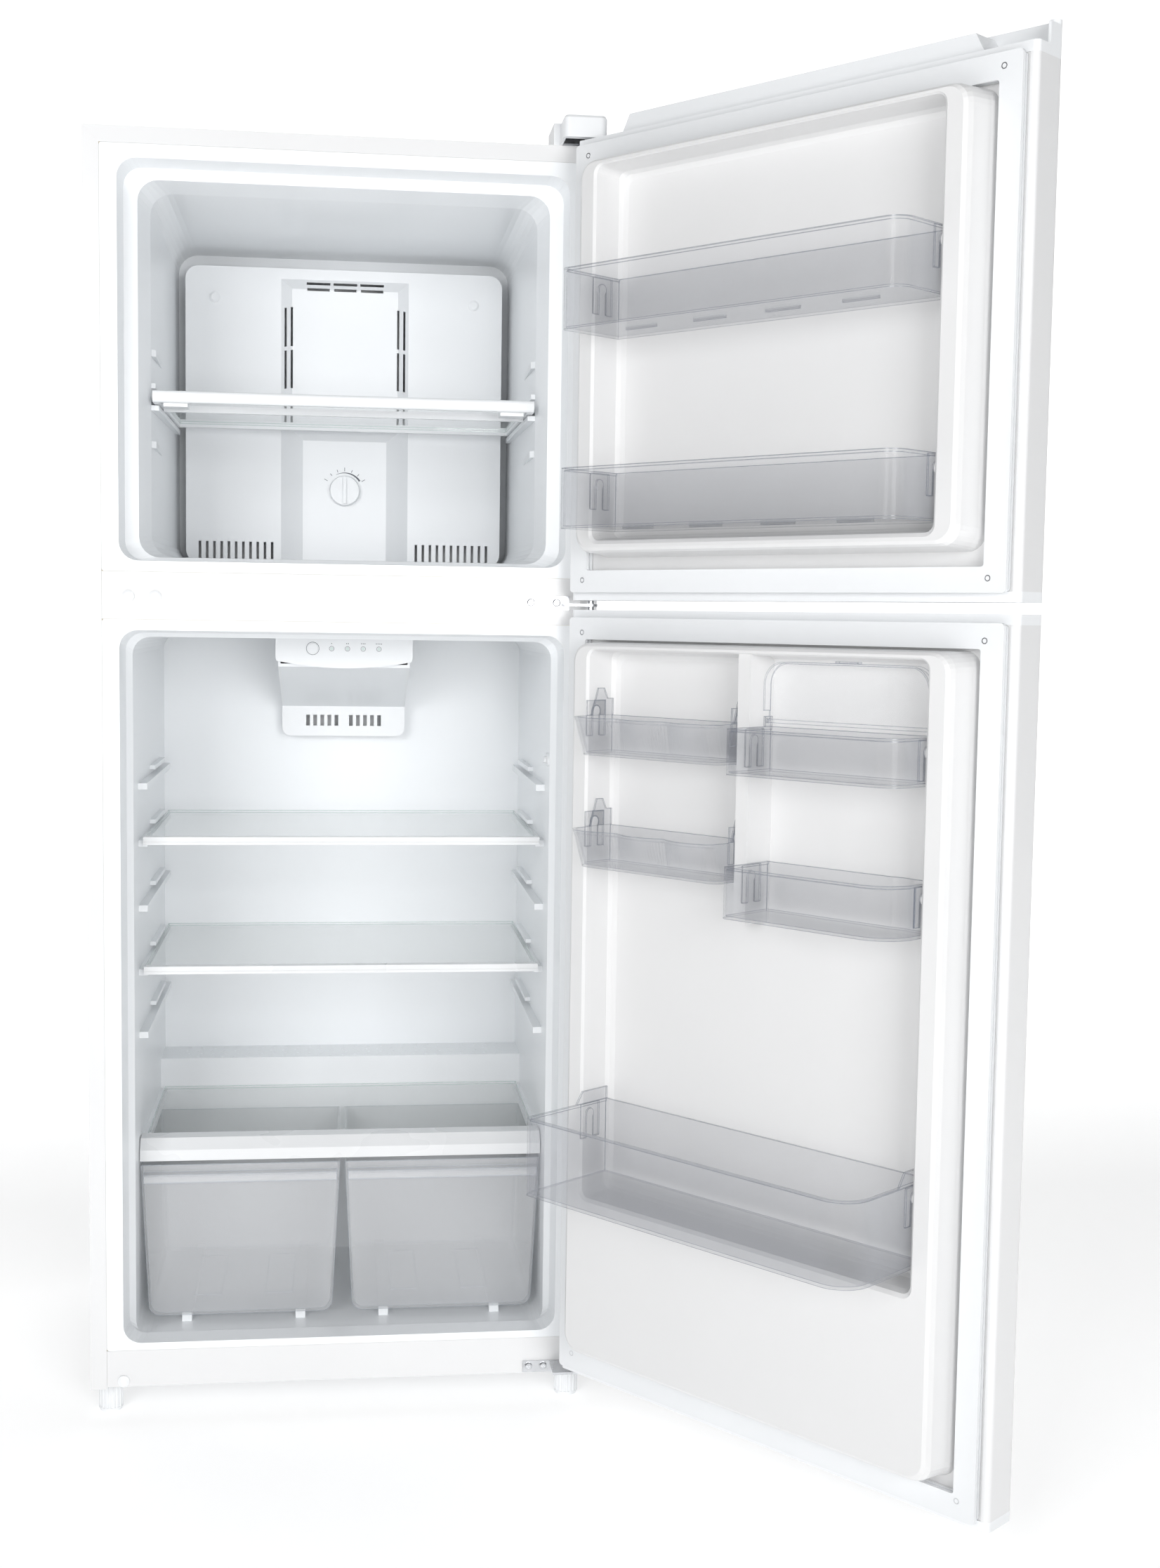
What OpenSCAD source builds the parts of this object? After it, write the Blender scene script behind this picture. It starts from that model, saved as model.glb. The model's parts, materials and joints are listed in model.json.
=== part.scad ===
// Top freezer refrigerator with both doors open.
// Sizes are in millimetres, +Z is up, the front faces -Y and the doors hinge on the +X side.
// The origin is on the floor, under the centre of the cabinet's footprint.
// Inside the modules, y = 0 is the front plane of the cabinet and +y goes into it.

/* [Cabinet] */
// Width of the cabinet and of both doors
cab_w = 595; // [540:5:720]
// Depth of the cabinet without its doors
cab_d = 510; // [500:5:600]
// Height of the cabinet top above the floor
cab_h = 1515; // [1430:5:1830]
// Gap under the cabinet, which the feet fill
foot_gap = 40; // [34:1:60]
// Thickness of the steel sheet
sheet_t = 1; // [0.6:0.1:1.4]
// Width of the flange folded round the front of the steel shell
flange_w = 19; // [15:1:24]
// Thickness of the plastic liners
liner_t = 2; // [1.5:0.5:2.5]

/* [Compartments] */
// From the side of the cabinet to the mouth of a compartment
mouth_side = 38.5; // [34:0.5:46]
// From the cabinet top to the freezer mouth
mouth_top = 35; // [30:1:50]
// From the cabinet bottom to the fridge mouth
mouth_low = 56; // [50:1:70]
// Height of the middle of the rail between the compartments
rail_z = 986; // [900:1:1040]
// Height of that rail
rail_h = 55; // [45:1:65]
// From that rail to the mouth on each side of it
rail_lip = 12.5; // [10:0.5:16]
// Depth of the recess at each mouth that takes the door's inner frame
recess_d = 36; // [36:1:44]
// Depth of the freezer liner
freezer_deep = 450; // [440:5:460]
// Depth of the fridge liner
fridge_deep = 430; // [420:5:445]
// Side wall of the freezer, in from the mouth
freezer_draw_in = 29; // [24:1:34]
// Side wall of the fridge, in from the mouth
fridge_draw_in = 10.5; // [8:0.5:14]
// Distance from the cabinet front to the evaporator cover
cover_y = 398; // [385:1:404]
// Distance from the cabinet front to the step over the compressor
step_y = 362; // [350:2:370]
// Height of the front edge of that step
step_z = 357; // [340:1:380]

/* [Doors] */
// Thickness of each door, with its gasket
door_t = 57; // [50:1:70]
// Thickness of the gasket
gasket_t = 11; // [9:0.5:14]
// Gap between the gasket face and a shut cabinet
shut_gap = 0.4; // [0.3:0.1:1]
// Gap between the two doors
door_gap = 11; // [9:1:16]
// Height of the middle of that gap
gap_z = 982.5; // [900:0.5:1040]
// From the cabinet bottom to the lower door
door_low = 24; // [20:1:34]
// Angle at which the doors stand open
door_open = 129; // [0:1:140]
// From the side of the cabinet to the hinge pins
pin_side = 11.5; // [10:0.5:14]
// Distance of the hinge pins in front of the cabinet
pin_front = 33; // [30:1:38]
// Radius of the hinge pins
pin_r = 4; // [3:0.5:5]
// Height of the frame on the inside of each door, above the cabinet's front plane
dike_h = 33; // [26:1:33]
// Height of the end caps of the doors
cap_h = 10.5; // [9.5:0.5:14]

/* [Door bins] */
// Wall of the clear bins
bin_t = 2.5; // [2:0.5:3]
// Depth of the freezer bins, from the closed door's gasket face
freezer_bin_deep = 90; // [70:1:96]
// Depth of the small fridge bins, from the closed door's gasket face
bin_deep = 75; // [60:1:76]
// Depth of the bottle bin, from the closed door's gasket face
bottle_deep = 130; // [100:1:132]
// Gap between a bin and the door frame beside it
bin_gap = 2.5; // [1.5:0.5:4]
// Heights of the two freezer bins
freezer_bin_z = [1280, 1065];
// Height of a freezer bin's front wall
freezer_bin_h = 66; // [50:1:80]
// Heights of the two scalloped bins
scallop_z = [815, 689];
// Height of a scalloped bin's front wall
scallop_h = 43; // [34:1:50]
// Height of the dairy bin
dairy_z = 808; // [780:1:820]
// Height of the small bin
small_z = 658; // [620:1:680]
// Height of the bottle bin
bottle_z = 324; // [322:1:380]
// Height of the bottle bin's front wall
bottle_h = 88; // [70:1:110]

/* [Shelves and drawers] */
// Distance from the cabinet front to the fridge shelves
shelf_y = 80; // [80:1:100]
// Depth of the fridge shelves
shelf_deep = 345; // [300:5:345]
// Thickness of the shelf glass
glass_t = 4; // [3:0.5:5]
// Heights of the tops of the two fridge shelves
shelf_z = [694, 535];
// Height of the freezer shelf's top
freezer_shelf_z = 1229; // [1180:1:1260]
// Distance from the cabinet front to the freezer shelf
freezer_shelf_y = 62; // [60:1:90]
// Depth of the freezer shelf
freezer_shelf_deep = 310; // [240:5:320]
// Distance from the cabinet front to the crispers
crisper_y = 82; // [78:1:100]
// Height of the top of the crisper cover
crisper_top = 319.5; // [300:0.5:321]
// Height of the floor of the fridge compartment
floor_z = 86; // [80:1:94]
// Gap between moving drawers or shelves and what is beside them
slide_gap = 3; // [2:0.5:5]

/* [Small parts] */
// Diameter of the levelling feet
foot_dia = 29; // [24:1:36]
// Radius of the rear rollers
roller_r = 17; // [14:1:20]
// Radius of the roller axles
axle_r = 3; // [2.5:0.5:4]
// Radius of the freezer knob
knob_r = 20.5; // [16:0.5:24]
// Radial clearance of every turning or sliding fit
fit = 0.05; // [0.02:0.01:0.1]

/* [Hidden] */

arc_n = 6;              // steps round each corner of a lofted ring
eps = 0.01;             // overlap that makes a cut clean

half_w = cab_w / 2;
mouth_x = half_w - mouth_side;
freezer_mouth = [rail_z + rail_h / 2 + rail_lip, cab_h - mouth_top];
fridge_mouth = [foot_gap + mouth_low, rail_z - rail_h / 2 - rail_lip];
pin_x = half_w - pin_side;

freezer_door = [gap_z + door_gap / 2, cab_h - 4];
fridge_door = [foot_gap + door_low, gap_z - door_gap / 2];
gasket_inset = 9;
gasket_w = 25;
skin_back = -shut_gap - gasket_t;
skin_front = -shut_gap - door_t;
skin_fold = 8;

freezer_x = mouth_x - freezer_draw_in;
fridge_x = mouth_x - fridge_draw_in;

// Frames: the cabinet frame, and a door frame that turns about the hinge pins.
module in_cabinet() {
    translate([0, -cab_d / 2, 0]) children();
}

module on_door() {
    in_cabinet()
    translate([pin_x, -pin_front, 0])
    rotate([0, 0, door_open])
    translate([-pin_x, pin_front, 0])
    children();
}

// A box given by its two corners.
module box(low, high) {
    translate(low) cube(high - low);
}

// A rectangle with rounded corners, centred, made of squares and circles.
module round_rect(w, h, r) {
    square([w - 2 * r, h], center = true);
    square([w, h - 2 * r], center = true);
    for (x = [-1, 1], y = [-1, 1])
        translate([x * (w / 2 - r), y * (h / 2 - r)]) circle(r = r, $fn = 48);
}

// A plate that lies in the XZ plane between two depths, with rounded corners.
module upright_plate(y0, y1, half, z0, z1, r) {
    translate([0, y1, (z0 + z1) / 2])
    rotate([90, 0, 0])
    linear_extrude(y1 - y0)
    round_rect(2 * half, z1 - z0, r);
}

// One ring of a loft: a rounded rectangle in the XZ plane at depth y.
function ring(y, half, z0, z1, r) = [
    for (c = [0:3]) for (i = [0:arc_n])
        let (a = 90 * c + 90 * i / arc_n,
             sx = (c == 0 || c == 3) ? 1 : -1,
             sz = (c < 2) ? 1 : -1)
        [sx * (half - r) + r * cos(a), y, (z0 + z1) / 2 + sz * ((z1 - z0) / 2 - r) + r * sin(a)]
];

// A closed solid through a list of rings.
module loft(rings) {
    n = len(rings[0]);
    m = len(rings);
    polyhedron(
        points = [for (r = rings) each r],
        faces = [
            [for (i = [n - 1:-1:0]) i],
            [for (i = [0:n - 1]) (m - 1) * n + i],
            for (k = [0:m - 2]) for (i = [0:n - 1])
                [k * n + i, k * n + (i + 1) % n, (k + 1) * n + (i + 1) % n, (k + 1) * n + i]
        ],
        convexity = 6
    );
}

// ---------------------------------------------------------------- cabinet

module cabinet_shell() {
    color("white") in_cabinet() {
        difference() {
            box([-half_w, 0, foot_gap], [half_w, cab_d, cab_h]);
            box([-half_w + sheet_t, -eps, foot_gap - 1], [half_w - sheet_t, cab_d + eps, cab_h - sheet_t]);
        }
        difference() {
            box([-half_w, 0, foot_gap], [half_w, sheet_t, cab_h]);
            box([-half_w + flange_w, -eps, foot_gap - 1], [half_w - flange_w, 2, cab_h - flange_w]);
            for (s = [-1, 1])
                translate([s * half_w, -eps, cab_h])
                rotate([0, s * 45, 0])
                translate([-0.3, 0, -flange_w * 1.3])
                cube([0.6, 0.3, flange_w * 1.3 + 1]);
        }
    }
}

bay_y = step_y + 33;
bay_z = step_z - 38;
rear_y = cab_d + 35;

// The rear sheet folds forward over the compressor and down in front of it.
module rear_panel() {
    color("gainsboro") in_cabinet() {
        inner = half_w - sheet_t - 0.2;
        box([-inner, cab_d - sheet_t, bay_z], [inner, cab_d, cab_h - sheet_t - 0.2]);
        box([-inner, bay_y, bay_z], [inner, cab_d - sheet_t + eps, bay_z + sheet_t]);
        box([-inner, bay_y, foot_gap + pan_t], [inner, bay_y + sheet_t, bay_z + eps]);
    }
}

// Inside surface of the freezer compartment, or with e > 0 the outside of its liner.
module freezer_cavity(e = 0) {
    z0 = freezer_mouth[0];
    z1 = freezer_mouth[1];
    x1 = freezer_x;
    loft([
        ring(e > 0 ? 0 : -eps, mouth_x + e, z0 - e, z1 + e, 22),
        ring(recess_d, mouth_x - 3.5 + e, z0 + 1.5 - e, z1 - 3 + e, 22),
        ring(recess_d + 5, mouth_x - 19 + e, z0 + 5 - e, z1 - 15 + e, 24),
        ring(recess_d + 54, x1 + e, z0 + 7 - e, z1 - 20 + e, 26),
        ring(freezer_deep + e, x1 - 4 + e, z0 + 8 - e, z1 - 25 + e, 26)
    ]);
}

// Inside surface of the fridge compartment, or with e > 0 the outside of its liner.
module fridge_cavity(e = 0) {
    z0 = fridge_mouth[0];
    z1 = fridge_mouth[1];
    difference() {
        loft([
            ring(e > 0 ? 0 : -eps, mouth_x + e, z0 - e, z1 + e, 21),
            ring(recess_d, mouth_x - 3.5 + e, z0 - 1 - e, z1 - 3 + e, 21),
            ring(recess_d + 8, fridge_x + e, floor_z - e, z1 - 8 + e, 21),
            ring(fridge_deep + e, fridge_x - 2 + e, floor_z - e, z1 - 8 + e, 20)
        ]);
        compressor_step(e);
    }
}

module compressor_step(e) {
    translate([half_w, 0, 0])
    rotate([0, -90, 0])
    linear_extrude(cab_w)
    polygon([
        [0, step_y + e], [step_z - e, step_y + e], [step_z + 3 - e, cab_d], [0, cab_d]
    ]);
}

module liner_flange(z0, z1) {
    upright_plate(0, liner_t, half_w - flange_w - 0.2, z0, z1, 3);
}

module freezer_liner() {
    color("white") in_cabinet() difference() {
        union() {
            freezer_cavity(liner_t);
            liner_flange(rail_z + rail_h / 2 + 0.2, cab_h - flange_w - 0.2);
            for (s = [-1, 1]) shelf_rest(s);
        }
        difference() {
            freezer_cavity();
            freezer_ribs();
        }
    }
}

// A block in the foam side of the freezer wall, behind each shelf rest.
module shelf_rest(side) {
    x = side * (freezer_x + 1);
    box([x - 1, 120, freezer_shelf_z - 40], [x + 1, 380, freezer_shelf_z - 30]);
}

freezer_rib_x = freezer_x - 9;

// Slanting ribs above and below the freezer shelf, and the rests that carry it.
module freezer_ribs() {
    for (s = [-1, 1]) {
        for (z = [freezer_shelf_z + 50, freezer_shelf_z - 58])
            rib_wedge(s, 100, 300, z, z - 8, 5);
        box_between(s, freezer_rib_x, freezer_x + 1, 92, 400, freezer_shelf_z - 22, freezer_shelf_z - 16);
        box_between(s, freezer_rib_x + 4, freezer_x + 1, 92, 260,
                    freezer_shelf_z + 4, freezer_shelf_z + 10);
    }
}

// A box on one side wall, from x0 to x1 on that side.
module box_between(side, x0, x1, y0, y1, z0, z1) {
    box([side > 0 ? x0 : -x1, y0, z0], [side > 0 ? x1 : -x0, y1, z1]);
}

// A rib on a side wall that thins to nothing towards the back.
module rib_wedge(side, y0, y1, z_high, z_low, out) {
    wall = freezer_x;
    translate([0, 0, z_low])
    linear_extrude(z_high - z_low)
    polygon([[side * (wall - out), y0], [side * (wall + 1), y0 - 6], [side * (wall + 1), y1]]);
}

rib_in = 11;            // how far the fridge ribs stand out of the wall
shelf_x = fridge_x - 7.5;

// Pairs of runner ribs on both side walls: a shelf slides between a pair.
module fridge_ribs() {
    levels = [shelf_z[0] + 70, shelf_z[0], shelf_z[0] - 80, shelf_z[1], shelf_z[1] - 78];
    for (s = [-1, 1], z = levels) {
        box_between(s, fridge_x - rib_in, fridge_x + 1, shelf_y + 16, fridge_deep - 10,
                    z - 12, z - glass_t - 0.3);
        box_between(s, fridge_x - rib_in + 3, fridge_x + 1, shelf_y + 150, fridge_deep - 60,
                    z + 2, z + 7);
    }
    for (s = [-1, 1])
        box_between(s, fridge_x - rib_in, fridge_x + 1, crisper_y + 36, step_y - 2,
                    cover_z - 7, cover_z);
    // two runners under each crisper
    for (x = [-1, 1] * crisper_w / 2, i = [-1, 1] * 70)
        box([x + i - 6, crisper_y + 12, floor_z - 1],
            [x + i + 6, step_y - 6, crisper_low - 0.3]);
}

cover_z = crisper_top - glass_t;    // underside of the crisper cover glass
switch_z = 794;
switch_y = 60;

module fridge_liner() {
    color("white") in_cabinet() difference() {
        union() {
            fridge_cavity(liner_t);
            liner_flange(base_rail_top + 0.2, rail_z - rail_h / 2 - 0.2);
        }
        difference() {
            fridge_cavity();
            fridge_ribs();
        }
        translate([mouth_x - 20, switch_y, switch_z])
        rotate([0, 90, 0]) cylinder(r = switch_r + 0.3, h = 40, $fn = 40);
    }
}

module cabinet_foam() {
    color("khaki") in_cabinet() difference() {
        box([-half_w + sheet_t, liner_t + 0.2, foot_gap + pan_t],
            [half_w - sheet_t, cab_d - sheet_t, cab_h - sheet_t]);
        freezer_cavity(liner_t);
        fridge_cavity(liner_t);
        for (s = [-1, 1]) shelf_rest(s);
        box([-half_w, bay_y, 0], [half_w, cab_d + 1, bay_z + sheet_t]);
        box([-half_w, 0, rail_z - rail_h / 2 - eps], [half_w, rail_deep, rail_z + rail_h / 2 + eps]);
        box([-half_w, 0, 0], [half_w, base_deep, base_rail_top]);
        translate([mouth_x - 20, switch_y, switch_z])
        rotate([0, 90, 0]) cylinder(r = switch_r + 3, h = 50, $fn = 40);
        for (s = [-1, 1])
            translate([s * foot_x, foot_y, 0]) cylinder(r = 12, h = foot_gap + 30, $fn = 40);
        box([-60, freezer_deep, drain_z - 30], [60, cab_d, drain_z]);
    }
}

rail_deep = 18;
screw_in = 0.4;         // gap between a screw or plug shank and its hole
hinge_screw_x = [pin_x - 67.5, pin_x - 37];
plug_x = [-248.5, -218];
plug_r = 7;

module front_hole(x, z, r) {
    translate([x, -1, z]) rotate([-90, 0, 0]) cylinder(r = r, h = 8, $fn = 40);
}

// The steel rail between the compartments is a channel, open at the back.
module mullion_rail() {
    color("white") in_cabinet() difference() {
        box([-half_w + flange_w + 0.2, 0, rail_z - rail_h / 2],
            [half_w - flange_w - 0.2, rail_deep, rail_z + rail_h / 2]);
        box([-half_w + flange_w - 1, sheet_t, rail_z - rail_h / 2 + sheet_t],
            [half_w - flange_w + 1, rail_deep + 1, rail_z + rail_h / 2 - sheet_t]);
        for (x = plug_x) front_hole(x, rail_z - 1, 4);
        for (x = hinge_screw_x) front_hole(x, rail_z - 1, 2.4);
    }
}

base_deep = 16;
base_rail_top = foot_gap + 47;
base_plug = [-259, foot_gap + 9.6];

module base_rail() {
    color("white") in_cabinet() difference() {
        box([-half_w + flange_w + 0.2, 0, foot_gap + 2.8],
            [half_w - flange_w - 0.2, base_deep, base_rail_top]);
        box([-half_w + flange_w - 1, sheet_t, foot_gap + 2.8 + sheet_t],
            [half_w - flange_w + 1, base_deep + 1, base_rail_top - sheet_t]);
        front_hole(base_plug[0], base_plug[1], 4);
        for (x = low_screw_x) front_hole(x, low_screw_z, 2.4);
        box([pin_x - 17, -1, foot_gap], [half_w, 4, low_plate_z + 9]);
    }
}

pan_t = 1.2;
foot_x = half_w - 19;
foot_y = 41;
stem_r = 5;
roller_x = half_w - 42;
roller_y = cab_d - 60;
roller_w = 18;

// The bottom sheet carries the sockets of the feet and the brackets of the rollers.
module base_pan() {
    color("silver") in_cabinet() difference() {
        union() {
            box([-half_w + sheet_t, 17, foot_gap], [half_w - sheet_t, cab_d, foot_gap + pan_t]);
            box([-half_w + 20, cab_d - 1, foot_gap], [half_w - 20, rear_y, foot_gap + pan_t]);
            for (s = [-1, 1]) {
                translate([s * foot_x, foot_y, foot_gap - 2]) cylinder(r = 9, h = 20, $fn = 48);
                for (side = [-1, 1])
                    roller_ear(s * roller_x + side * (roller_w / 2 + 2.5));
            }
            box([-half_w + 20, rear_y - 1.2, foot_gap], [half_w - 20, rear_y, foot_gap + 20]);
        }
        for (s = [-1, 1])
            translate([s * foot_x, foot_y, foot_gap - 5])
            cylinder(r = stem_r + fit, h = 40, $fn = 48);
    }
}

// An ear carries a fixed axle stub that reaches halfway into the roller.
module roller_ear(x) {
    box([x - 1, roller_y - 14, roller_r - 6], [x + 1, roller_y + 14, foot_gap + eps]);
    inward = x > 0 ? (x > roller_x ? -1 : 1) : (x < -roller_x ? 1 : -1);
    translate([x, roller_y, roller_r])
    rotate([0, 90 * inward, 0])
    cylinder(r = axle_r, h = roller_w / 2 + 1.5, $fn = 40);
}

module rear_roller(side) {
    color("dimgray") in_cabinet()
    translate([side * roller_x - roller_w / 2, roller_y, roller_r])
    rotate([0, 90, 0])
    difference() {
        union() {
            cylinder(r = roller_r, h = roller_w, $fn = 72);
            translate([0, 0, -0.8]) cylinder(r = 7, h = roller_w + 1.6, $fn = 48);
        }
        translate([0, 0, -2]) cylinder(r = axle_r + fit, h = roller_w + 4, $fn = 48);
    }
}

// A levelling foot with a fluted grip and a stem that screws up into its socket.
module front_foot(side) {
    color("white") in_cabinet()
    translate([side * foot_x, foot_y, 0]) {
        difference() {
            translate([0, 0, 3]) cylinder(r = foot_dia / 2, h = foot_gap - 9, $fn = 72);
            for (a = [0:20:340])
                rotate([0, 0, a]) translate([foot_dia / 2 + 0.6, 0, 5])
                cylinder(r = 1.7, h = foot_gap, $fn = 20);
        }
        cylinder(r = foot_dia / 2 - 1.5, h = 4, $fn = 72);
        cylinder(r = stem_r, h = foot_gap + 14, $fn = 48);
    }
}

// ---------------------------------------------------------------- cold side

cover_t = 3;
cover_half = freezer_x - 16.5;
cover_top = freezer_mouth[1] - 47;
tower_x = 86;
tower_top = cover_top - 14;
box_top = 1213;
knob_z = 1134.6;
fan_z = 1370;

// The raised duct in the middle of the evaporator cover, e mm inside its surface.
module cover_tower(e) {
    low = freezer_mouth[0] + 9;
    hull() {
        box([-tower_x + e, cover_y + e, low + e], [tower_x - e, cover_y + 1 + e, tower_top - e]);
        box([-tower_x + 15 + e, cover_y - 14 + e, low + e],
            [tower_x - 15 - e, cover_y - 13 + e, tower_top - 15 - e]);
    }
    hull() {
        box([-tower_x + 10 + e, cover_y - 10 + e, low + e],
            [tower_x - 10 - e, cover_y - 9 + e, box_top + 6 - e]);
        box([-tower_x + 30 + e, cover_y - 28 + e, low + e],
            [tower_x - 30 - e, cover_y - 27 + e, box_top - 12 - e]);
    }
}

module evaporator_cover() {
    low = freezer_mouth[0] + 9;
    color("white") in_cabinet() difference() {
        union() {
            difference() {
                upright_plate(cover_y, freezer_deep, cover_half, low, cover_top, 18);
                upright_plate(cover_y + cover_t, freezer_deep + 1, cover_half - 3,
                              low + 3, cover_top - 3, 15);
            }
            cover_tower(0);
        }
        cover_tower(cover_t);
        cover_vents();
        translate([0, cover_y - 40, knob_z])
        rotate([-90, 0, 0]) cylinder(r = 4 + fit, h = 30, $fn = 48);
    }
}

module cover_vents() {
    // two rows of outlets near the top of the duct
    for (row = [0, 1], i = [-1, 0, 1])
        box([i * 36 - 16 + row, cover_y - 20, tower_top - 8 - 9 * row],
            [i * 36 + 16 - row, cover_y + 6, tower_top - 4 - 9 * row]);
    // upright outlets down both bevelled sides
    for (s = [-1, 1], x = [71.5, 80], seg = [[1216, 1262], [1272, 1323], [1328, 1380]])
        box([s * x - 1.5, cover_y - 18, seg[0]], [s * x + 1.5, cover_y + 2, seg[1]]);
    // return grilles at the bottom
    for (s = [-1, 1], i = [0:10])
        box([s * (98 + 9.7 * i) - 1.8, cover_y - 1, 1038],
            [s * (98 + 9.7 * i) + 1.8, cover_y + 6, 1065]);
}

drain_z = freezer_mouth[0] + 40;

// Straight tubes through a stack of fins, joined at their ends by half-round bends.
module evaporator_coil() {
    color("silver") in_cabinet() {
        rows = [for (i = [0:4]) 1085 + 34 * i];
        y = cover_y + 27;
        for (x = [-120, 120]) box([x - 6, y + 3, 1080], [x + 6, freezer_deep, 1228]);
        for (z = rows)
            translate([-175, y, z]) rotate([0, 90, 0]) cylinder(r = 4, h = 350, $fn = 24);
        for (i = [0:3])
            translate([(i % 2 == 0 ? 175 : -175), y, rows[i] + 17])
            rotate([90, 0, 0]) rotate_extrude(angle = 180, start = (i % 2 == 0 ? -90 : 90), $fn = 48)
            translate([17, 0]) circle(r = 4, $fn = 24);
        for (i = [0:19])
            translate([-162 + 17 * i, y - 15, 1072]) cube([0.8, 30, 162]);
    }
}

module fan_motor() {
    color("dimgray") in_cabinet() {
        translate([0, cover_y + 44, fan_z]) rotate([90, 0, 0]) cylinder(r = 22, h = 22, $fn = 60);
        translate([0, freezer_deep, fan_z]) rotate([90, 0, 0]) cylinder(r = 12, h = 12, $fn = 48);
        translate([0, cover_y + 30, fan_z]) rotate([90, 0, 0]) cylinder(r = 2.5, h = 18, $fn = 40);
        box([-46, cover_y + 40, fan_z - 6], [46, cover_y + 44, fan_z + 6]);
    }
}

module fan_blade() {
    color("whitesmoke") in_cabinet()
    translate([0, cover_y + 12, fan_z]) rotate([90, 0, 0]) difference() {
        union() {
            translate([0, 0, -4]) cylinder(r = 10, h = 12, $fn = 48);
            for (a = [0:60:300])
                rotate([0, 0, a]) translate([8, 0, 2]) rotate([28, 0, 0])
                translate([0, -9, -0.8]) cube([32, 18, 1.6]);
        }
        translate([0, 0, -10]) cylinder(r = 2.5 + fit, h = 16, $fn = 40);
    }
}

module freezer_knob() {
    color("white") in_cabinet()
    translate([0, cover_y - 28.3, knob_z]) rotate([90, 0, 0]) {
        cylinder(r = knob_r, h = 3, $fn = 96);
        translate([0, 0, 3 - eps]) cylinder(r1 = knob_r, r2 = knob_r - 1.5, h = 8, $fn = 96);
        translate([-2, -knob_r + 3, 10]) cube([4, 2 * knob_r - 6, 5]);
        translate([0, 0, -14]) cylinder(r = 4, h = 15, $fn = 48);
    }
}

// ---------------------------------------------------------------- shelves

freezer_shelf_x = freezer_x - slide_gap - 1;

// The freezer shelf is a plastic frame round a pane, with hangers under its front corners.
module freezer_shelf() {
    y0 = freezer_shelf_y;
    y1 = y0 + freezer_shelf_deep;
    z = freezer_shelf_z;
    color("white") in_cabinet() {
        translate([-freezer_shelf_x, y0 + 6, z - 8])
        rotate([0, 90, 0]) linear_extrude(2 * freezer_shelf_x) round_rect(14, 12, 4);
        for (s = [-1, 1])
            box_between(s, freezer_shelf_x - 8, freezer_shelf_x, y0 + 11, y1, z - 15, z - 5);
        box([-freezer_shelf_x, y1 - 10, z - 15], [freezer_shelf_x, y1, z - 5]);
        for (s = [-1, 1])
            box_between(s, freezer_shelf_x - 40, freezer_shelf_x - 12, y0 + 9, y0 + 40, z - 19, z - 12);
        box([-freezer_shelf_x + 7, y0 + 70, z - 19], [freezer_shelf_x - 7, y0 + 78, z - 11]);
    }
}

module freezer_shelf_glass() {
    color("azure", 0.5) in_cabinet()
    box([-freezer_shelf_x + 8.1, freezer_shelf_y + 12.1, freezer_shelf_z - 11],
        [freezer_shelf_x - 8.1, freezer_shelf_y + freezer_shelf_deep - 10.1, freezer_shelf_z - 7]);
}

module shelf_glass(z) {
    color("azure", 0.5) in_cabinet()
    box([-shelf_x, shelf_y + 3, z - glass_t], [shelf_x, shelf_y + shelf_deep, z]);
}

// A front trim grips the glass in a slot.
module shelf_trim(z) {
    color("silver") in_cabinet() difference() {
        box([-shelf_x, shelf_y, z - glass_t - 4], [shelf_x, shelf_y + 14, z + 1.5]);
        box([-shelf_x - 1, shelf_y + 3, z - glass_t], [shelf_x + 1, shelf_y + 20, z]);
        box([-shelf_x - 1, shelf_y - 1, z - glass_t - 0.8], [shelf_x + 1, shelf_y + 0.8, z - glass_t]);
    }
}

cover_x = fridge_x - 1.5;
trim_h = 25.5;
cover_back = step_y - 5;

module crisper_cover_glass() {
    color("azure", 0.5) in_cabinet()
    box([-cover_x + 6, crisper_y + 24, cover_z], [cover_x - 6, cover_back, crisper_top]);
}

// The wide front trim of the crisper cover, with a centre leg and a sloping upper face.
module crisper_cover_trim() {
    color("silver") in_cabinet() difference() {
        translate([cover_x, 0, 0]) rotate([0, -90, 0]) linear_extrude(2 * cover_x)
        polygon([
            [crisper_top - trim_h, crisper_y], [crisper_top - 12, crisper_y],
            [crisper_top + 1, crisper_y + 10], [crisper_top + 1, crisper_y + 34],
            [cover_z - 2, crisper_y + 34], [cover_z - 2, crisper_y + 6],
            [crisper_top - trim_h, crisper_y + 6]
        ]);
        box([-cover_x + 6, crisper_y + 24, cover_z], [cover_x - 6, crisper_y + 40, crisper_top]);
    }
}

crisper_gap = 6;
crisper_low = max(floor_z, fridge_mouth[0]) + 1.5;  // its floor clears the lip at the mouth
crisper_high = floor_z + 202;
crisper_w = fridge_x - 2 - crisper_gap / 2;
crisper_r = 14;

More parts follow.
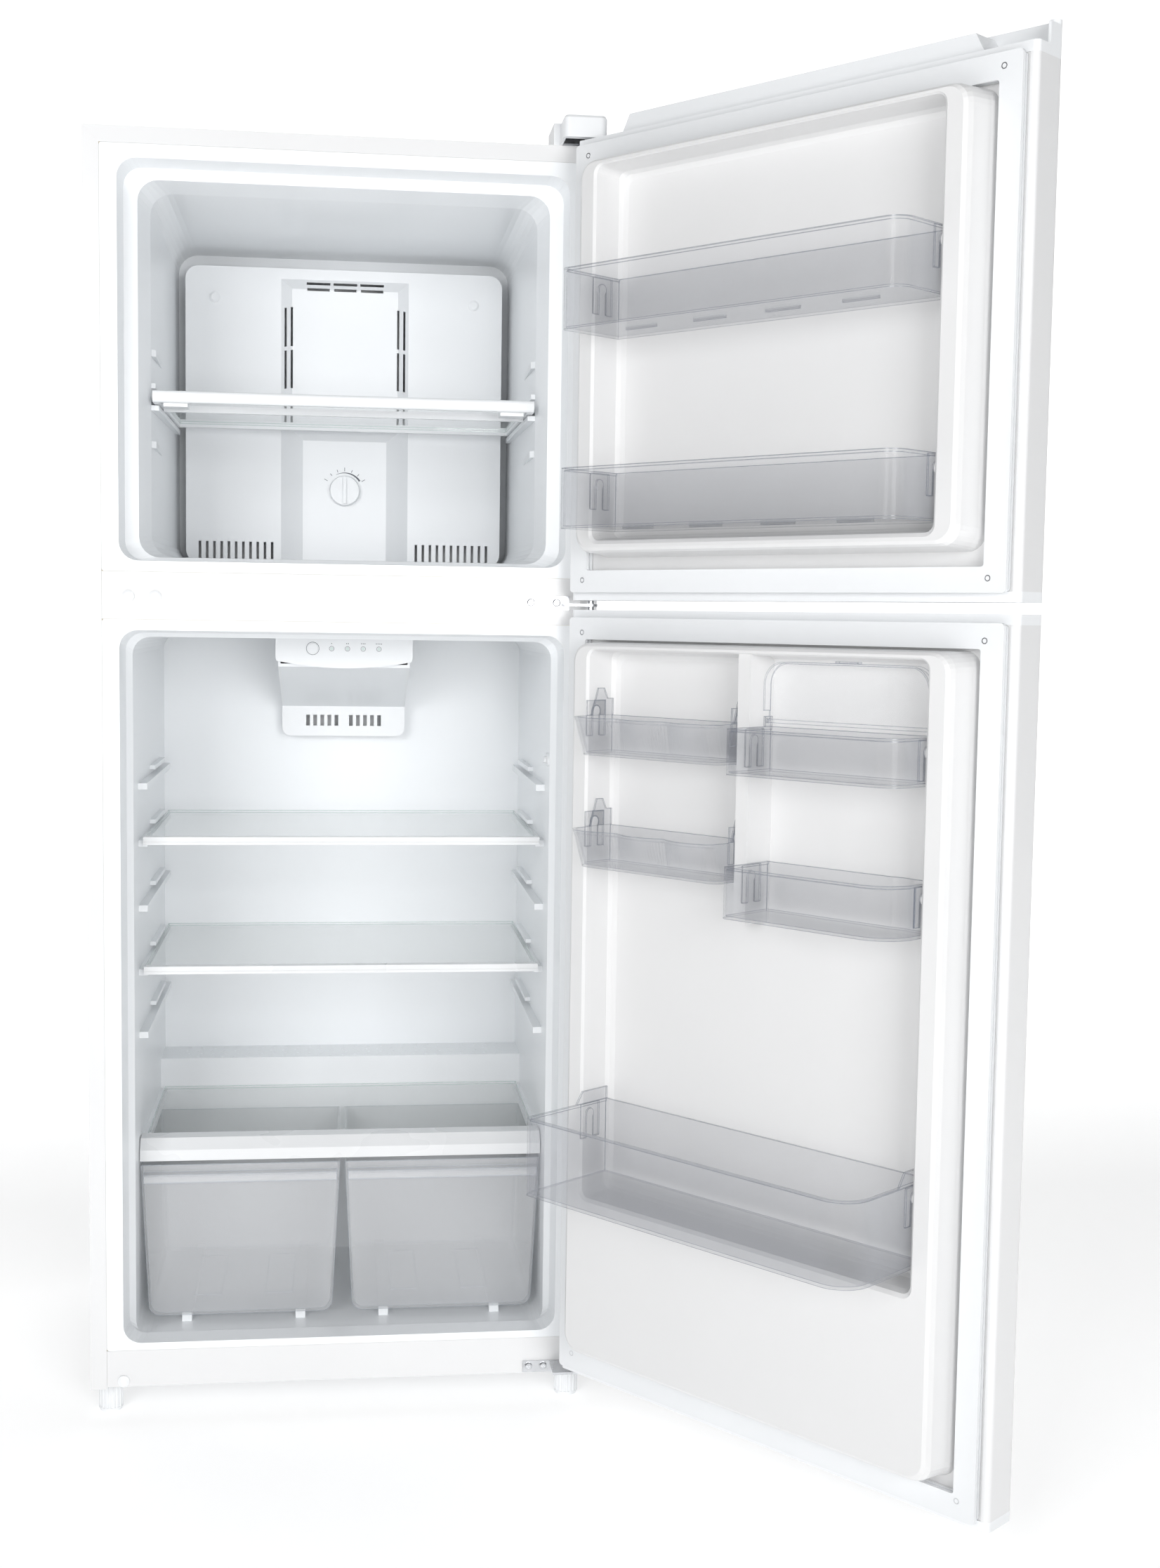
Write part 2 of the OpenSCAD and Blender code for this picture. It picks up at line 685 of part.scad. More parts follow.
// A drawer that narrows a little towards its floor, with a rolled lip as its handle.
module crisper(side) {
    z0 = crisper_low;
    z1 = crisper_high;
    x = side * (crisper_gap / 2 + crisper_w / 2);
    y0 = crisper_y + 3;
    y1 = cover_back - 2;
    color("lightcyan", 0.5) in_cabinet() {
        difference() {
            translate([x, 0, 0]) crisper_body(0, y0, y1, z0, z1);
            translate([x, 0, 0]) crisper_body(bin_t, y0, y1, z0, z1 + 1);
        }
        // handle lip along the front edge
        box([x - crisper_w / 2 + 4, y0 - 9, z1 - 12], [x + crisper_w / 2 - 4, y0 + 1, z1 - 9]);
        box([x - crisper_w / 2 + 4, y0 - 11, z1 - 20], [x + crisper_w / 2 - 4, y0 - 8.5, z1 - 9]);
        // floor pads
        for (i = [-1, 1])
            box([x + i * 45 - 17, y0 + 60, z0 + bin_t - eps],
                [x + i * 45 + 17, y1 - 60, z0 + bin_t + 1.5]);
    }
}

module crisper_body(e, y0, y1, z0, z1) {
    half = crisper_w / 2 - e;
    hull() {
        for (s = [-1, 1]) {
            translate([s * (half - 9 - crisper_r), y0 + e, z0 + e + crisper_r])
            rotate([-90, 0, 0]) cylinder(r = crisper_r, h = y1 - y0 - 2 * e - 20, $fn = 32);
            translate([s * (half - 1) - 1, y0 + e, z1 - 1]) cube([2, y1 - y0 - 2 * e, 1]);
        }
    }
}

// ---------------------------------------------------------------- controls

panel_y = 200;
panel_x = 87;
duct_y = 400;
duct_low = 800;
ceiling = fridge_mouth[1] - 8;
button_x = -40;
button_z = 924;
button_r = 6.5;
light_x = [-16, 4, 24, 44];

// The control panel hangs from the ceiling and joins the air duct on the back wall.
module control_housing() {
    color("whitesmoke") in_cabinet() difference() {
        union() {
            translate([0, panel_y + 14, 0]) rotate([90, 0, 0]) linear_extrude(14) intersection() {
                translate([-panel_x, 890]) square([2 * panel_x, ceiling - 890]);
                translate([0, 899 + 420]) circle(r = 420, $fn = 360);
                translate([0, 960]) round_rect(2 * panel_x, 124, 16);
            }
            for (s = [-1, 1]) translate([s * 82.5 - 1.5, 0, 0])
                rotate([90, 0, 90]) linear_extrude(3)
                polygon([[panel_y + 14, 900], [duct_y, 841], [duct_y, ceiling], [panel_y + 14, ceiling]]);
            difference() {
                upright_plate(duct_y, fridge_deep, 84, duct_low, ceiling, 12);
                upright_plate(duct_y + 3, fridge_deep + 1, 81, duct_low + 3, ceiling + 20, 10);
            }
        }
        box([-80.5, duct_y - 1, 844], [80.5, duct_y + 4, ceiling - 6]);
        for (s = [-1, 1], i = [0:4])
            box([s * (10 + 9.7 * i) - 2.6, duct_y - 1, 814],
                [s * (10 + 9.7 * i) + 2.6, duct_y + 4, 829]);
        translate([button_x, panel_y - 1, button_z]) rotate([-90, 0, 0])
        cylinder(r = button_r + fit, h = 16, $fn = 60);
        for (x = light_x) translate([x, panel_y - 1, button_z]) rotate([-90, 0, 0])
            cylinder(r = 2.2, h = 10, $fn = 32);
    }
}

module lamp_lens() {
    color("lightgray", 0.7) in_cabinet()
    translate([-81, 0, 0]) rotate([90, 0, 90]) linear_extrude(162)
    polygon([[panel_y + 14, 900], [duct_y, 841], [duct_y, 845], [panel_y + 14, 904]]);
}

module indicator_lights() {
    color("white") in_cabinet()
    for (x = light_x)
        translate([x, panel_y + 0.5, button_z]) rotate([-90, 0, 0]) cylinder(r = 2.15, h = 8, $fn = 32);
}

module set_button() {
    color("white") in_cabinet()
    translate([button_x, panel_y - 1.5, button_z]) rotate([-90, 0, 0])
    cylinder(r = button_r, h = 12, $fn = 60);
}

switch_r = 4;
switch_out = 6;

// The plunger points across the compartment from the right-hand wall.
module door_switch() {
    color("white") in_cabinet()
    translate([fridge_x - switch_out, switch_y, switch_z]) rotate([0, 90, 0])
    cylinder(r = switch_r, h = 26, $fn = 40);
}

// ---------------------------------------------------------------- hinges

hinge_t = 3;
top_plate_z = cab_h + 0.1;

module hinge_pin(z0, z1) {
    translate([pin_x, -pin_front, z0]) cylinder(r = pin_r, h = z1 - z0, $fn = 64);
}

top_screws = [[pin_x - 30, 18], [pin_x - 8, 18], [pin_x - 19, 40]];

module top_hinge() {
    color("silver") in_cabinet() difference() {
        union() {
            box([pin_x - 42, 2, top_plate_z], [pin_x + 5, 52, top_plate_z + hinge_t]);
            box([pin_x - 14, -pin_front, top_plate_z], [pin_x + 5, 3, top_plate_z + hinge_t]);
            translate([pin_x, -pin_front, top_plate_z]) cylinder(r = 10, h = hinge_t, $fn = 60);
            hinge_pin(freezer_door[1] - 8, top_plate_z + hinge_t);
        }
        for (p = top_screws) translate([p[0], p[1], top_plate_z - 1]) cylinder(r = 2.6, h = 8, $fn = 32);
    }
}

// A hollow cover over the top hinge.
module top_hinge_cover() {
    color("white") in_cabinet() {
        z0 = top_plate_z;
        z1 = cab_h + 25;
        difference() {
            union() {
                box([pin_x - 47, 0, z0], [half_w - 1, 60, z1]);
                hull() for (p = [[pin_x - 32, -36], [half_w - 9.5, -36],
                                 [half_w - 9.5, 4], [pin_x - 32, 4]])
                    translate([p[0], p[1], z0]) {
                        cylinder(r = 8, h = z1 - z0 - 3, $fn = 32);
                        cylinder(r = 6, h = z1 - z0, $fn = 32);
                    }
            }
            box([pin_x - 37, -pin_front - 1.5, z0 - 1], [half_w - 4, 3, z1 - 3.5]);
            box([pin_x - 45, 2, z0 - 1], [half_w - 3, 58, z1 - 3]);
            translate([pin_x, -pin_front, z0 - 1]) cylinder(r = 10.6, h = 10, $fn = 60);
        }
    }
}

mid_plate_z = gap_z - hinge_t / 2;

module centre_hinge() {
    color("silver") in_cabinet() difference() {
        union() {
            box([pin_x - 76, -2.2, rail_z - 10], [pin_x - 22, -0.2, rail_z + 7]);
            box([pin_x - 31, -pin_front - 8, mid_plate_z], [pin_x, -0.2, mid_plate_z + hinge_t]);
            translate([pin_x, -pin_front, mid_plate_z]) cylinder(r = 8, h = hinge_t, $fn = 60);
            hinge_pin(fridge_door[1] - 8, freezer_door[0] + 8);
        }
        for (x = hinge_screw_x) front_hole_from(x, rail_z - 1, 2.6, -4);
    }
}

module front_hole_from(x, z, r, y) {
    translate([x, y, z]) rotate([-90, 0, 0]) cylinder(r = r, h = 8, $fn = 32);
}

low_plate_z = fridge_door[0] - 9;
low_screw_x = [pin_x - 59, pin_x - 41];
low_screw_z = foot_gap + 12;

module bottom_hinge() {
    color("silver") in_cabinet() difference() {
        union() {
            box([pin_x - 66, -2.2, foot_gap + 4], [pin_x - 18, -0.2, low_plate_z + hinge_t]);
            box([pin_x - 33, -pin_front - 8, low_plate_z], [pin_x, -0.2, low_plate_z + hinge_t]);
            translate([pin_x, -pin_front, low_plate_z]) cylinder(r = 8, h = hinge_t, $fn = 60);
            hinge_pin(low_plate_z, fridge_door[0] + 8);
        }
        for (x = low_screw_x) front_hole_from(x, low_screw_z, 2.6, -4);
    }
}

module screw() {
    difference() {
        union() {
            translate([0, 0, -7]) cylinder(r = 2, h = 8, $fn = 24);
            cylinder(r = 4.6, h = 1.2, $fn = 40);
            translate([0, 0, 1.2 - eps]) cylinder(r1 = 4.6, r2 = 3.4, h = 1.2, $fn = 40);
        }
        for (a = [0, 90]) rotate([0, 0, a]) translate([-2.4, -0.45, 1.2]) cube([4.8, 0.9, 3]);
    }
}

module hinge_screws() {
    color("silver") in_cabinet() {
        for (p = top_screws) translate([p[0], p[1], top_plate_z + hinge_t + 0.02]) screw_short();
        for (x = hinge_screw_x) translate([x, -2.25, rail_z - 1]) rotate([90, 0, 0]) screw();
        for (x = low_screw_x) translate([x, -2.25, low_screw_z]) rotate([90, 0, 0]) screw();
    }
}

module screw_short() {
    intersection() {
        screw();
        translate([-6, -6, -hinge_t]) cube([12, 12, 12]);
    }
}

module hole_plug() {
    rotate([90, 0, 0]) {
        cylinder(r = plug_r, h = 1.5, $fn = 48);
        translate([0, 0, 1.5 - eps]) cylinder(r1 = plug_r, r2 = plug_r - 2.5, h = 1, $fn = 48);
        translate([0, 0, -6]) cylinder(r = 4 - screw_in, h = 7, $fn = 32);
    }
}

module hole_plugs() {
    color("white") in_cabinet() {
        for (x = plug_x) translate([x, -0.05, rail_z - 1]) hole_plug();
        translate([base_plug[0], -0.05, base_plug[1]]) hole_plug();
        for (s = [-1, 1]) translate([s * 174.4, cover_y - 0.05, 1392]) intersection() {
            hole_plug();
            translate([-20, -20, -20]) cube([40, 20, 40]);
        }
    }
}

// ---------------------------------------------------------------- machine bay

module compressor() {
    color("dimgray") in_cabinet() translate([70, (bay_y + rear_y) / 2 + 2, foot_gap + pan_t]) {
        translate([0, 0, 12]) cylinder(r = 60, h = 70, $fn = 96);
        translate([0, 0, 82 - eps]) cylinder(r1 = 60, r2 = 51, h = 40, $fn = 96);
        translate([0, 0, 122 - 2 * eps]) cylinder(r1 = 51, r2 = 22, h = 22, $fn = 96);
        translate([-72, -50, 8]) cube([144, 100, 4.5]);
        translate([0, 0, 10]) cylinder(r = 40, h = 4, $fn = 60);
        for (x = [-60, 60], y = [-40, 40]) translate([x, y, 0]) cylinder(r = 9, h = 8.5, $fn = 32);
        translate([60, -26, 40]) cube([34, 52, 48]);
    }
}

condenser_x = 240;

// A folded tube and vertical wires stand on brackets behind the rear sheet.
module condenser_coil() {
    color("black") in_cabinet() {
        y = cab_d + 15;
        rows = [for (i = [0:15]) step_z + 63 + 60 * i];
        for (z = rows)
            translate([-condenser_x + 30, y, z]) rotate([0, 90, 0])
            cylinder(r = 2.6, h = 2 * condenser_x - 60, $fn = 24);
        for (i = [0:14])
            translate([(i % 2 == 0 ? 1 : -1) * (condenser_x - 30), y, rows[i] + 30])
            rotate([90, 0, 0]) rotate_extrude(angle = 180, start = (i % 2 == 0 ? -90 : 90), $fn = 40)
            translate([30, 0]) circle(r = 2.6, $fn = 24);
        for (i = [0:26])
            translate([-195 + 15 * i, y - 3.4, rows[0] - 12]) cylinder(r = 0.9, h = 924, $fn = 12);
        for (s = [-1, 1], z = [rows[1], rows[14]])
            box([s * 203 - 5, cab_d, z - 10], [s * 203 + 5, y - 1, z + 10]);
    }
}

module drain_pan() {
    color("black") in_cabinet() difference() {
        box([-235, bay_y + 12, foot_gap + pan_t], [-40, rear_y - 12, foot_gap + 34]);
        box([-232, bay_y + 15, foot_gap + pan_t + 3], [-43, rear_y - 15, foot_gap + 44]);
    }
}

module power_inlet() {
    color("black") in_cabinet() {
        box([185, rear_y - 34, foot_gap + pan_t], [225, rear_y - 12, foot_gap + 42]);
        translate([205, rear_y - 12.1, foot_gap + 31]) rotate([-90, 0, 0]) difference() {
            cylinder(r = 9, h = 10, $fn = 48);
            translate([0, 0, -1]) cylinder(r = 4.2, h = 12, $fn = 48);
        }
    }
}

// ---------------------------------------------------------------- doors

// The steel skin is folded round the front, the sides and the edge of the inner face.
module door_skin(zs) {
    color("white") on_door() difference() {
        translate([0, 0, zs[0] + cap_h]) linear_extrude(zs[1] - zs[0] - 2 * cap_h) skin_plan(0);
        translate([0, 0, zs[0] - 1]) linear_extrude(zs[1] - zs[0] + 2) difference() {
            skin_plan(sheet_t);
        }
        box([-half_w + skin_fold, skin_back - sheet_t - eps, zs[0] - 1],
            [half_w - skin_fold, skin_back + 1, zs[1] + 1]);
    }
}

module skin_plan(e) {
    r = 6;
    translate([0, (skin_back + skin_front) / 2])
    round_rect(cab_w - 2 * e, skin_back - skin_front - 2 * e, r - e);
}

// The inner face of a door: [depth, side inset, lower inset, upper inset, corner radius],
// from the flange over the frame's crest and down into the pocket that holds the bins.
function frame_steps(e, low) = [
    [skin_back - 10 - e, 0.5 + e, 11 + e, 5 + e, 20],
    [skin_back - e, 0.5 + e, 11 + e, 5 + e, 20],
    [0, 3 + e, 13 + e, 5.5 + e, 20],
    [dike_h - 8, 6 + e, 15 + e, 6.5 + e, 20],
    [dike_h - 2.5 - e, 8.5 + e, 17 + e, 7.5 + e, 20],
    [dike_h - e, 12.5, 20.5, 10, 18],
    [dike_h - e, 30, 24 + low, 12.5, 12],
    [dike_h - 2.5 - e, 33 - e, 28 + low - e, 14 - e, 10],
    [dike_h - 12, 34 - e, 30 + low - e, 15 - e, 10],
    [skin_back + 8, 35 - e, 32 + low - e, 16 - e, 10],
    [skin_back + 3 - e, 38 - e, 35 + low - e, 19 - e, 10],
    [skin_back + 1 - e, 44, 41 + low, 25, 10]
];

module frame_body(mouth, e, low) {
    loft([for (s = frame_steps(e, low))
        ring(s[0], mouth_x - s[1], mouth[0] + s[2], mouth[1] - s[3], s[4])]);
}

module door_liner(zs, mouth, low) {
    y0 = skin_back - sheet_t - 0.1;
    difference() {
        union() {
            difference() {
                frame_body(mouth, 0, low);
                box([-half_w, skin_back - 40, 0], [half_w, y0 - liner_t, cab_h + 10]);
            }
            door_slab(zs, y0 - liner_t, y0);
        }
        frame_body(mouth, liner_t, low);
    }
}

// What fits inside the folded skin between two depths, just clear of it.
module door_slab(zs, y0, y1) {
    translate([0, 0, zs[0] + cap_h + 0.1]) linear_extrude(zs[1] - zs[0] - 2 * cap_h - 0.2) intersection() {
        skin_plan(sheet_t + 0.2);
        translate([-half_w, y0]) square([cab_w, y1 - y0]);
    }
}

module door_foam(zs) {
    y0 = skin_back - sheet_t - 0.1 - liner_t;
    color("khaki") on_door() {
        door_slab(zs, skin_front, y0 - 0.1);
    }
}

// The soft gasket: a wide face that meets the cabinet, a waist and a foot on the door.
module door_gasket(zs) {
    face = -shut_gap;
    color("white") on_door() difference() {
        union() {
            gasket_band(zs, face - 4, face, 0, gasket_w);
            gasket_band(zs, face - 8, face - 4 + eps, 3, gasket_w - 6);
            gasket_band(zs, face - gasket_t + 0.1, face - 8 + eps, 1.5, gasket_w - 2);
        }
    }
}

module gasket_band(zs, y0, y1, inset, w) {
    a = gasket_inset + inset;
    difference() {
        upright_plate(y0, y1, half_w - a, zs[0] + a, zs[1] - a, 4);
        upright_plate(y0 - 1, y1 + 1, half_w - a - w, zs[0] + a + w, zs[1] - a - w, 3);
    }
}

bin_half = mouth_x - 35 - bin_gap;
rib_x = 2.5;            // middle of the upright rib between the small bins
rib_half = 8;
lug_r = 5.7;
lug_y = 23;
lug_drop = 14;          // from a bin's rim down to the lugs that carry it

// Lugs on the door liner, one at each end of a bin: x is the wall they stand on.
module lug(x, side, z) {
    translate([x + side * 3, lug_y, z]) rotate([0, -90 * side, 0])
    cylinder(r = lug_r, h = bin_gap + 2.6, $fn = 40);
}

module lug_pair(x0, x1, z) {
    lug(x1 + bin_gap + eps, 1, z - lug_drop);
    lug(x0 - bin_gap - eps, -1, z - lug_drop);
}

// A clip on the end of a bin, slotted from below so that it hooks over a lug.
module clip(x, side, z) {
    difference() {
        box([min(x, x + side * (bin_gap - 0.5)), lug_y - 15, z - 42],
            [max(x, x + side * (bin_gap - 0.5)), lug_y + 15, z - 2]);
        translate([x - 10, lug_y, z - lug_drop]) rotate([0, 90, 0])
        cylinder(r = lug_r + 0.1, h = 20, $fn = 40);
        box([x - 10, lug_y - lug_r - 0.1, z - 50], [x + 10, lug_y + lug_r + 0.1, z - lug_drop]);
    }
}

// Plan of a plain bin: its front corners have one radius on the free side of the door, r,
// and a smaller one on the hinge side, q.
module bin_plan(x0, x1, y0, y1, r, q) {
    translate([x0, y0]) square([x1 - x0, y1 - y0 - max(r, q)]);
    translate([x0 + r, y0]) square([x1 - x0 - r - q, y1 - y0]);
    translate([x1 - r, y1 - r - 1]) square([r, r - q + 1]);
    translate([x0 + r, y1 - r]) circle(r = r, $fn = 80);
    translate([x1 - q, y1 - q]) circle(r = q, $fn = 48);
}

bin_back = -3;
hinge_corner = 8;       // corner radius of every bin on the hinge side

module bin(x0, x1, y1, z, h, r) {
    t = bin_t;
    q = hinge_corner;
    difference() {
        translate([0, 0, z]) linear_extrude(h) bin_plan(x0, x1, bin_back, y1, r, q);
        translate([0, 0, z + t]) linear_extrude(h)
        bin_plan(x0 + t, x1 - t, bin_back + t, y1 - t, r - t, q - t);
    }
    // a thicker rim along the front
    translate([0, 0, z + h - 3]) linear_extrude(3) difference() {
        bin_plan(x0, x1, bin_back, y1, r, q);
        bin_plan(x0 + t + 1, x1 - t - 1, bin_back - 1, y1 - t - 1, r - t - 1, q - t - 1);
    }
    clip(x1 - eps, 1, z + h);
    clip(x0 + eps, -1, z + h);
}

module freezer_bin(z) {
    color("slategray", 0.45) on_door() difference() {
        bin(-bin_half, bin_half, freezer_bin_deep, z, freezer_bin_h, 20);
        for (i = [-1.5:1:1.5]) translate([i * 96, 44, z - 1]) linear_extrude(8) round_rect(44, 5, 2.4);
    }
}

module freezer_bin_lugs() {
    for (z = freezer_bin_z) lug_pair(-bin_half, bin_half, z + freezer_bin_h);
}

scallop_x = [rib_x + rib_half + bin_gap, bin_half];

scallop_r = [14, 22];   // corner radii of a scalloped bin, rib side and hinge side
scallop_wave = 11;      // how far its bulges stand out at the rim
scallop_lean = 17;      // how far its front leans out from floor to rim

// Plan of a scalloped bin at a share f of its height: straight at the floor, and at the rim
// three bulges in a row. e moves it in and out pushes its front forwards.
function scallop_front(x, f, e, out) =
    bin_deep - 1.2 + out - e - scallop_lean * (1 - f)
    - scallop_wave * f * (1 - abs(sin(540 * (x - scallop_x[0]) / (scallop_x[1] - scallop_x[0]))));

function scallop_line(z, f, e, out = 0) =
    let (x0 = scallop_x[0] + e, x1 = scallop_x[1] - e, q = scallop_r[0], r = scallop_r[1],
         yq = scallop_front(x0 + q, f, e, out) - q, yr = scallop_front(x1 - r, f, e, out) - r)
    concat(
        [[x0, bin_back + e, z]],
        [for (a = [0:15:75]) [x0 + q - q * cos(a), yq + q * sin(a), z]],
        [for (i = [0:48]) let (x = x0 + q + (x1 - x0 - q - r) * i / 48)
            [x, scallop_front(x, f, e, out), z]],
        [for (a = [75:-15:0]) [x1 - r + r * cos(a), yr + r * sin(a), z]],
        [[x1, bin_back + e, z]]
    );

// A closed solid through rings stacked upwards, its sides in triangles.
module stack(rings) {
    n = len(rings[0]);
    m = len(rings);
    polyhedron(
        points = [for (r = rings) each r],
        faces = concat(
            [[for (i = [n - 1:-1:0]) i], [for (i = [0:n - 1]) (m - 1) * n + i]],
            [for (k = [0:m - 2]) for (i = [0:n - 1])
                [k * n + i, k * n + (i + 1) % n, (k + 1) * n + (i + 1) % n]],
            [for (k = [0:m - 2]) for (i = [0:n - 1])
                [k * n + i, (k + 1) * n + (i + 1) % n, (k + 1) * n + i]]
        ),
        convexity = 8
    );
}

module scalloped_bin(z) {
    h = scallop_h;
    color("slategray", 0.45) on_door() {
        // up the outside, over the rim and down the inside to the floor
        stack([scallop_line(z, 0, 0), scallop_line(z + h - 4, 1 - 4 / h, 0),
               scallop_line(z + h - 3, 1 - 3 / h, 0, 1.2), scallop_line(z + h, 1, 0, 1.2),
               scallop_line(z + h, 1, bin_t), scallop_line(z + bin_t, bin_t / h, bin_t)]);
        // end walls rise to points at the back
        for (x = [scallop_x[0], scallop_x[1] - bin_t])
            translate([x + 0.2, 0, 0]) rotate([90, 0, 90]) linear_extrude(bin_t - 0.4)
            polygon([[bin_back + 0.2, z + 1], [28, z + 1], [34, z + h - 5], [22, z + 74],
                [12, z + 74], [6, z + 62], [bin_back + 0.2, z + 62]]);
        clip(scallop_x[1] - eps, 1, z + 62);
        clip(scallop_x[0] + eps, -1, z + 62);
    }
}

side_x = [-bin_half, rib_x - rib_half - bin_gap];
dairy_h = 48;
small_h = 54;
cover_axis_y = 4;
cover_axis_z = dairy_z + dairy_h + 6;
cover_reach = bin_deep - 10;
cover_pin_r = 2;

module small_bin() {
    color("slategray", 0.45) on_door() bin(side_x[0], side_x[1], bin_deep, small_z, small_h, 40);
}

// The dairy bin has two raised ears that hold the pins of its cover.
module dairy_bin() {
    color("slategray", 0.45) on_door() difference() {
        union() {
            bin(side_x[0], side_x[1], bin_deep, dairy_z, dairy_h, 26);
            for (x = [side_x[0], side_x[1] - bin_t])
                box([x, bin_back, dairy_z + 10], [x + bin_t, cover_axis_y + 5, cover_axis_z + 5]);
        }
        translate([side_x[0] - 5, cover_axis_y, cover_axis_z]) rotate([0, 90, 0])
        cylinder(r = cover_pin_r + fit, h = side_x[1] - side_x[0] + 10, $fn = 40);
    }
}

module cover_outline(w, h, r, e) {
    translate([e, e]) square([w - 2 * e, h - r - e]);
    translate([r, e]) square([w - 2 * r, h - 2 * e]);
    for (x = [r, w - r]) translate([x, h - r]) circle(r = r - e, $fn = 72);
}

// The cover stands open; it is a shallow tray that faces the room.
module dairy_cover() {
    w = side_x[1] - side_x[0] - 2 * bin_t - 2.4;
    color("aliceblue", 0.4) on_door()
    translate([side_x[0] + bin_t + 1.2, cover_axis_y, cover_axis_z - 2]) {
        translate([0, 1, 0]) rotate([90, 0, 0]) linear_extrude(2) cover_outline(w, cover_reach, 24, 0);
        translate([0, 11, 0]) rotate([90, 0, 0]) linear_extrude(10.5) difference() {
            cover_outline(w, cover_reach, 24, 0);
            cover_outline(w, cover_reach, 24, 2);
            translate([-1, -1]) square([w + 2, 14]);
        }
        translate([w / 2 - 14, 0.5, cover_reach - 1]) cube([28, 7, 3]);
        translate([-2.4, 0, 2]) rotate([0, 90, 0]) cylinder(r = cover_pin_r, h = w + 4.8, $fn = 40);
    }
}

module bottle_bin() {
    color("slategray", 0.45) on_door() {
        bin(-bin_half, bin_half, bottle_deep, bottle_z, bottle_h, 34);
        for (x = [-bin_half, bin_half - bin_t])
            translate([x, 0, 0]) rotate([90, 0, 90]) linear_extrude(bin_t)
            polygon([[bin_back, bottle_z + bottle_h - 3], [50, bottle_z + bottle_h - 3],
                [38, bottle_z + bottle_h + 14], [bin_back, bottle_z + bottle_h + 14]]);
    }
}

module fridge_bin_lugs() {
    for (z = scallop_z) lug_pair(scallop_x[0], scallop_x[1], z + 62);
    lug_pair(side_x[0], side_x[1], dairy_z + dairy_h);
    lug_pair(side_x[0], side_x[1], small_z + small_h);
    lug_pair(-bin_half, bin_half, bottle_z + bottle_h);
}

panel_rise = 176;       // height of the flat panel under the bottle bin

module freezer_door_liner() {
    color("white") on_door() {
        door_liner(freezer_door, freezer_mouth, 0);
        freezer_bin_lugs();
    }
}

module fridge_door_liner() {
    color("white") on_door() {
        door_liner(fridge_door, fridge_mouth, panel_rise);
        box([rib_x - rib_half, skin_back, small_z - 12], [rib_x + rib_half, 30, fridge_mouth[1] - 14]);
        fridge_bin_lugs();
    }
}

// A scooped grip at the free end of a cap, open to the gap between the doors.
module grip(z) {
    translate([-half_w + 30, skin_front + 17, z]) rotate([0, 90, 0]) cylinder(r = 7, h = 200, $fn = 60);
    box([-half_w + 30, skin_front + 4, z - 7], [-half_w + 230, skin_front + 17, z + 7]);
}

module pin_hole(z) {
    translate([pin_x, -pin_front, z - 9]) cylinder(r = pin_r + fit, h = 18, $fn = 64);
}

module cap_plate(z0) {
    translate([0, 0, z0]) linear_extrude(cap_h) skin_plan(0);
}

module freezer_door_caps() {
    z0 = freezer_door[0];
    z1 = freezer_door[1];
    top = cab_h + 17;
    ridge = [half_w - 60, -half_w + 62];
    color("white") on_door() {
        difference() {
            cap_plate(z0);
            grip(z0);
            pin_hole(z0);
        }
        difference() {
            union() {
                cap_plate(z1 - cap_h);
                translate([0, skin_back - 9, 0]) rotate([90, 0, 0])
                linear_extrude(skin_back - 9 - skin_front - 4)
                polygon([[ridge[0], z1 - 1], [ridge[0] - 12, top],
                         [ridge[1] + 12, top], [ridge[1], z1 - 1]]);
                box([-half_w + 6, skin_front, z1 - 1], [ridge[0], skin_front + 3, top + 5]);
                box([-half_w, skin_front + 6, z1 - 1], [-half_w + 3, skin_back - 22, top]);
                translate([-half_w + 6, skin_front + 6, z1 - 1])
                cylinder(r = 6, h = top + 6 - z1, $fn = 48);
            }
            pin_hole(z1);
        }
    }
}

module fridge_door_caps() {
    z0 = fridge_door[0];
    z1 = fridge_door[1];
    color("white") on_door() {
        difference() {
            cap_plate(z1 - cap_h);
            grip(z1);
            pin_hole(z1);
        }
        difference() {
            cap_plate(z0);
            pin_hole(z0);
        }
    }
}

cabinet_shell();
rear_panel();
cabinet_foam();
freezer_liner();
fridge_liner();
mullion_rail();
base_rail();
base_pan();
evaporator_cover();
evaporator_coil();
fan_motor();
fan_blade();
freezer_knob();
freezer_shelf();
freezer_shelf_glass();
control_housing();
lamp_lens();
indicator_lights();
set_button();
door_switch();
shelf_glass(shelf_z[0]);  // shelf_upper_glass
shelf_trim(shelf_z[0]);  // shelf_upper_trim
shelf_glass(shelf_z[1]);  // shelf_lower_glass
shelf_trim(shelf_z[1]);  // shelf_lower_trim
crisper_cover_glass();
crisper_cover_trim();
crisper(-1);  // crisper_left
crisper(1);  // crisper_right
top_hinge();
top_hinge_cover();
centre_hinge();
bottom_hinge();
hinge_screws();
hole_plugs();
compressor();
condenser_coil();
drain_pan();
power_inlet();
front_foot(-1);  // front_foot_left
front_foot(1);  // front_foot_right
rear_roller(-1);  // rear_roller_left
rear_roller(1);  // rear_roller_right
door_skin(freezer_door);  // freezer_door_skin
freezer_door_liner();
door_foam(freezer_door);  // freezer_door_foam
door_gasket(freezer_door);  // freezer_door_gasket
freezer_door_caps();
freezer_bin(freezer_bin_z[0]);  // freezer_bin_upper
freezer_bin(freezer_bin_z[1]);  // freezer_bin_lower
door_skin(fridge_door);  // fridge_door_skin
fridge_door_liner();
door_foam(fridge_door);  // fridge_door_foam
door_gasket(fridge_door);  // fridge_door_gasket
fridge_door_caps();
scalloped_bin(scallop_z[0]);  // scalloped_bin_upper
scalloped_bin(scallop_z[1]);  // scalloped_bin_lower
dairy_bin();
dairy_cover();
small_bin();
bottle_bin();
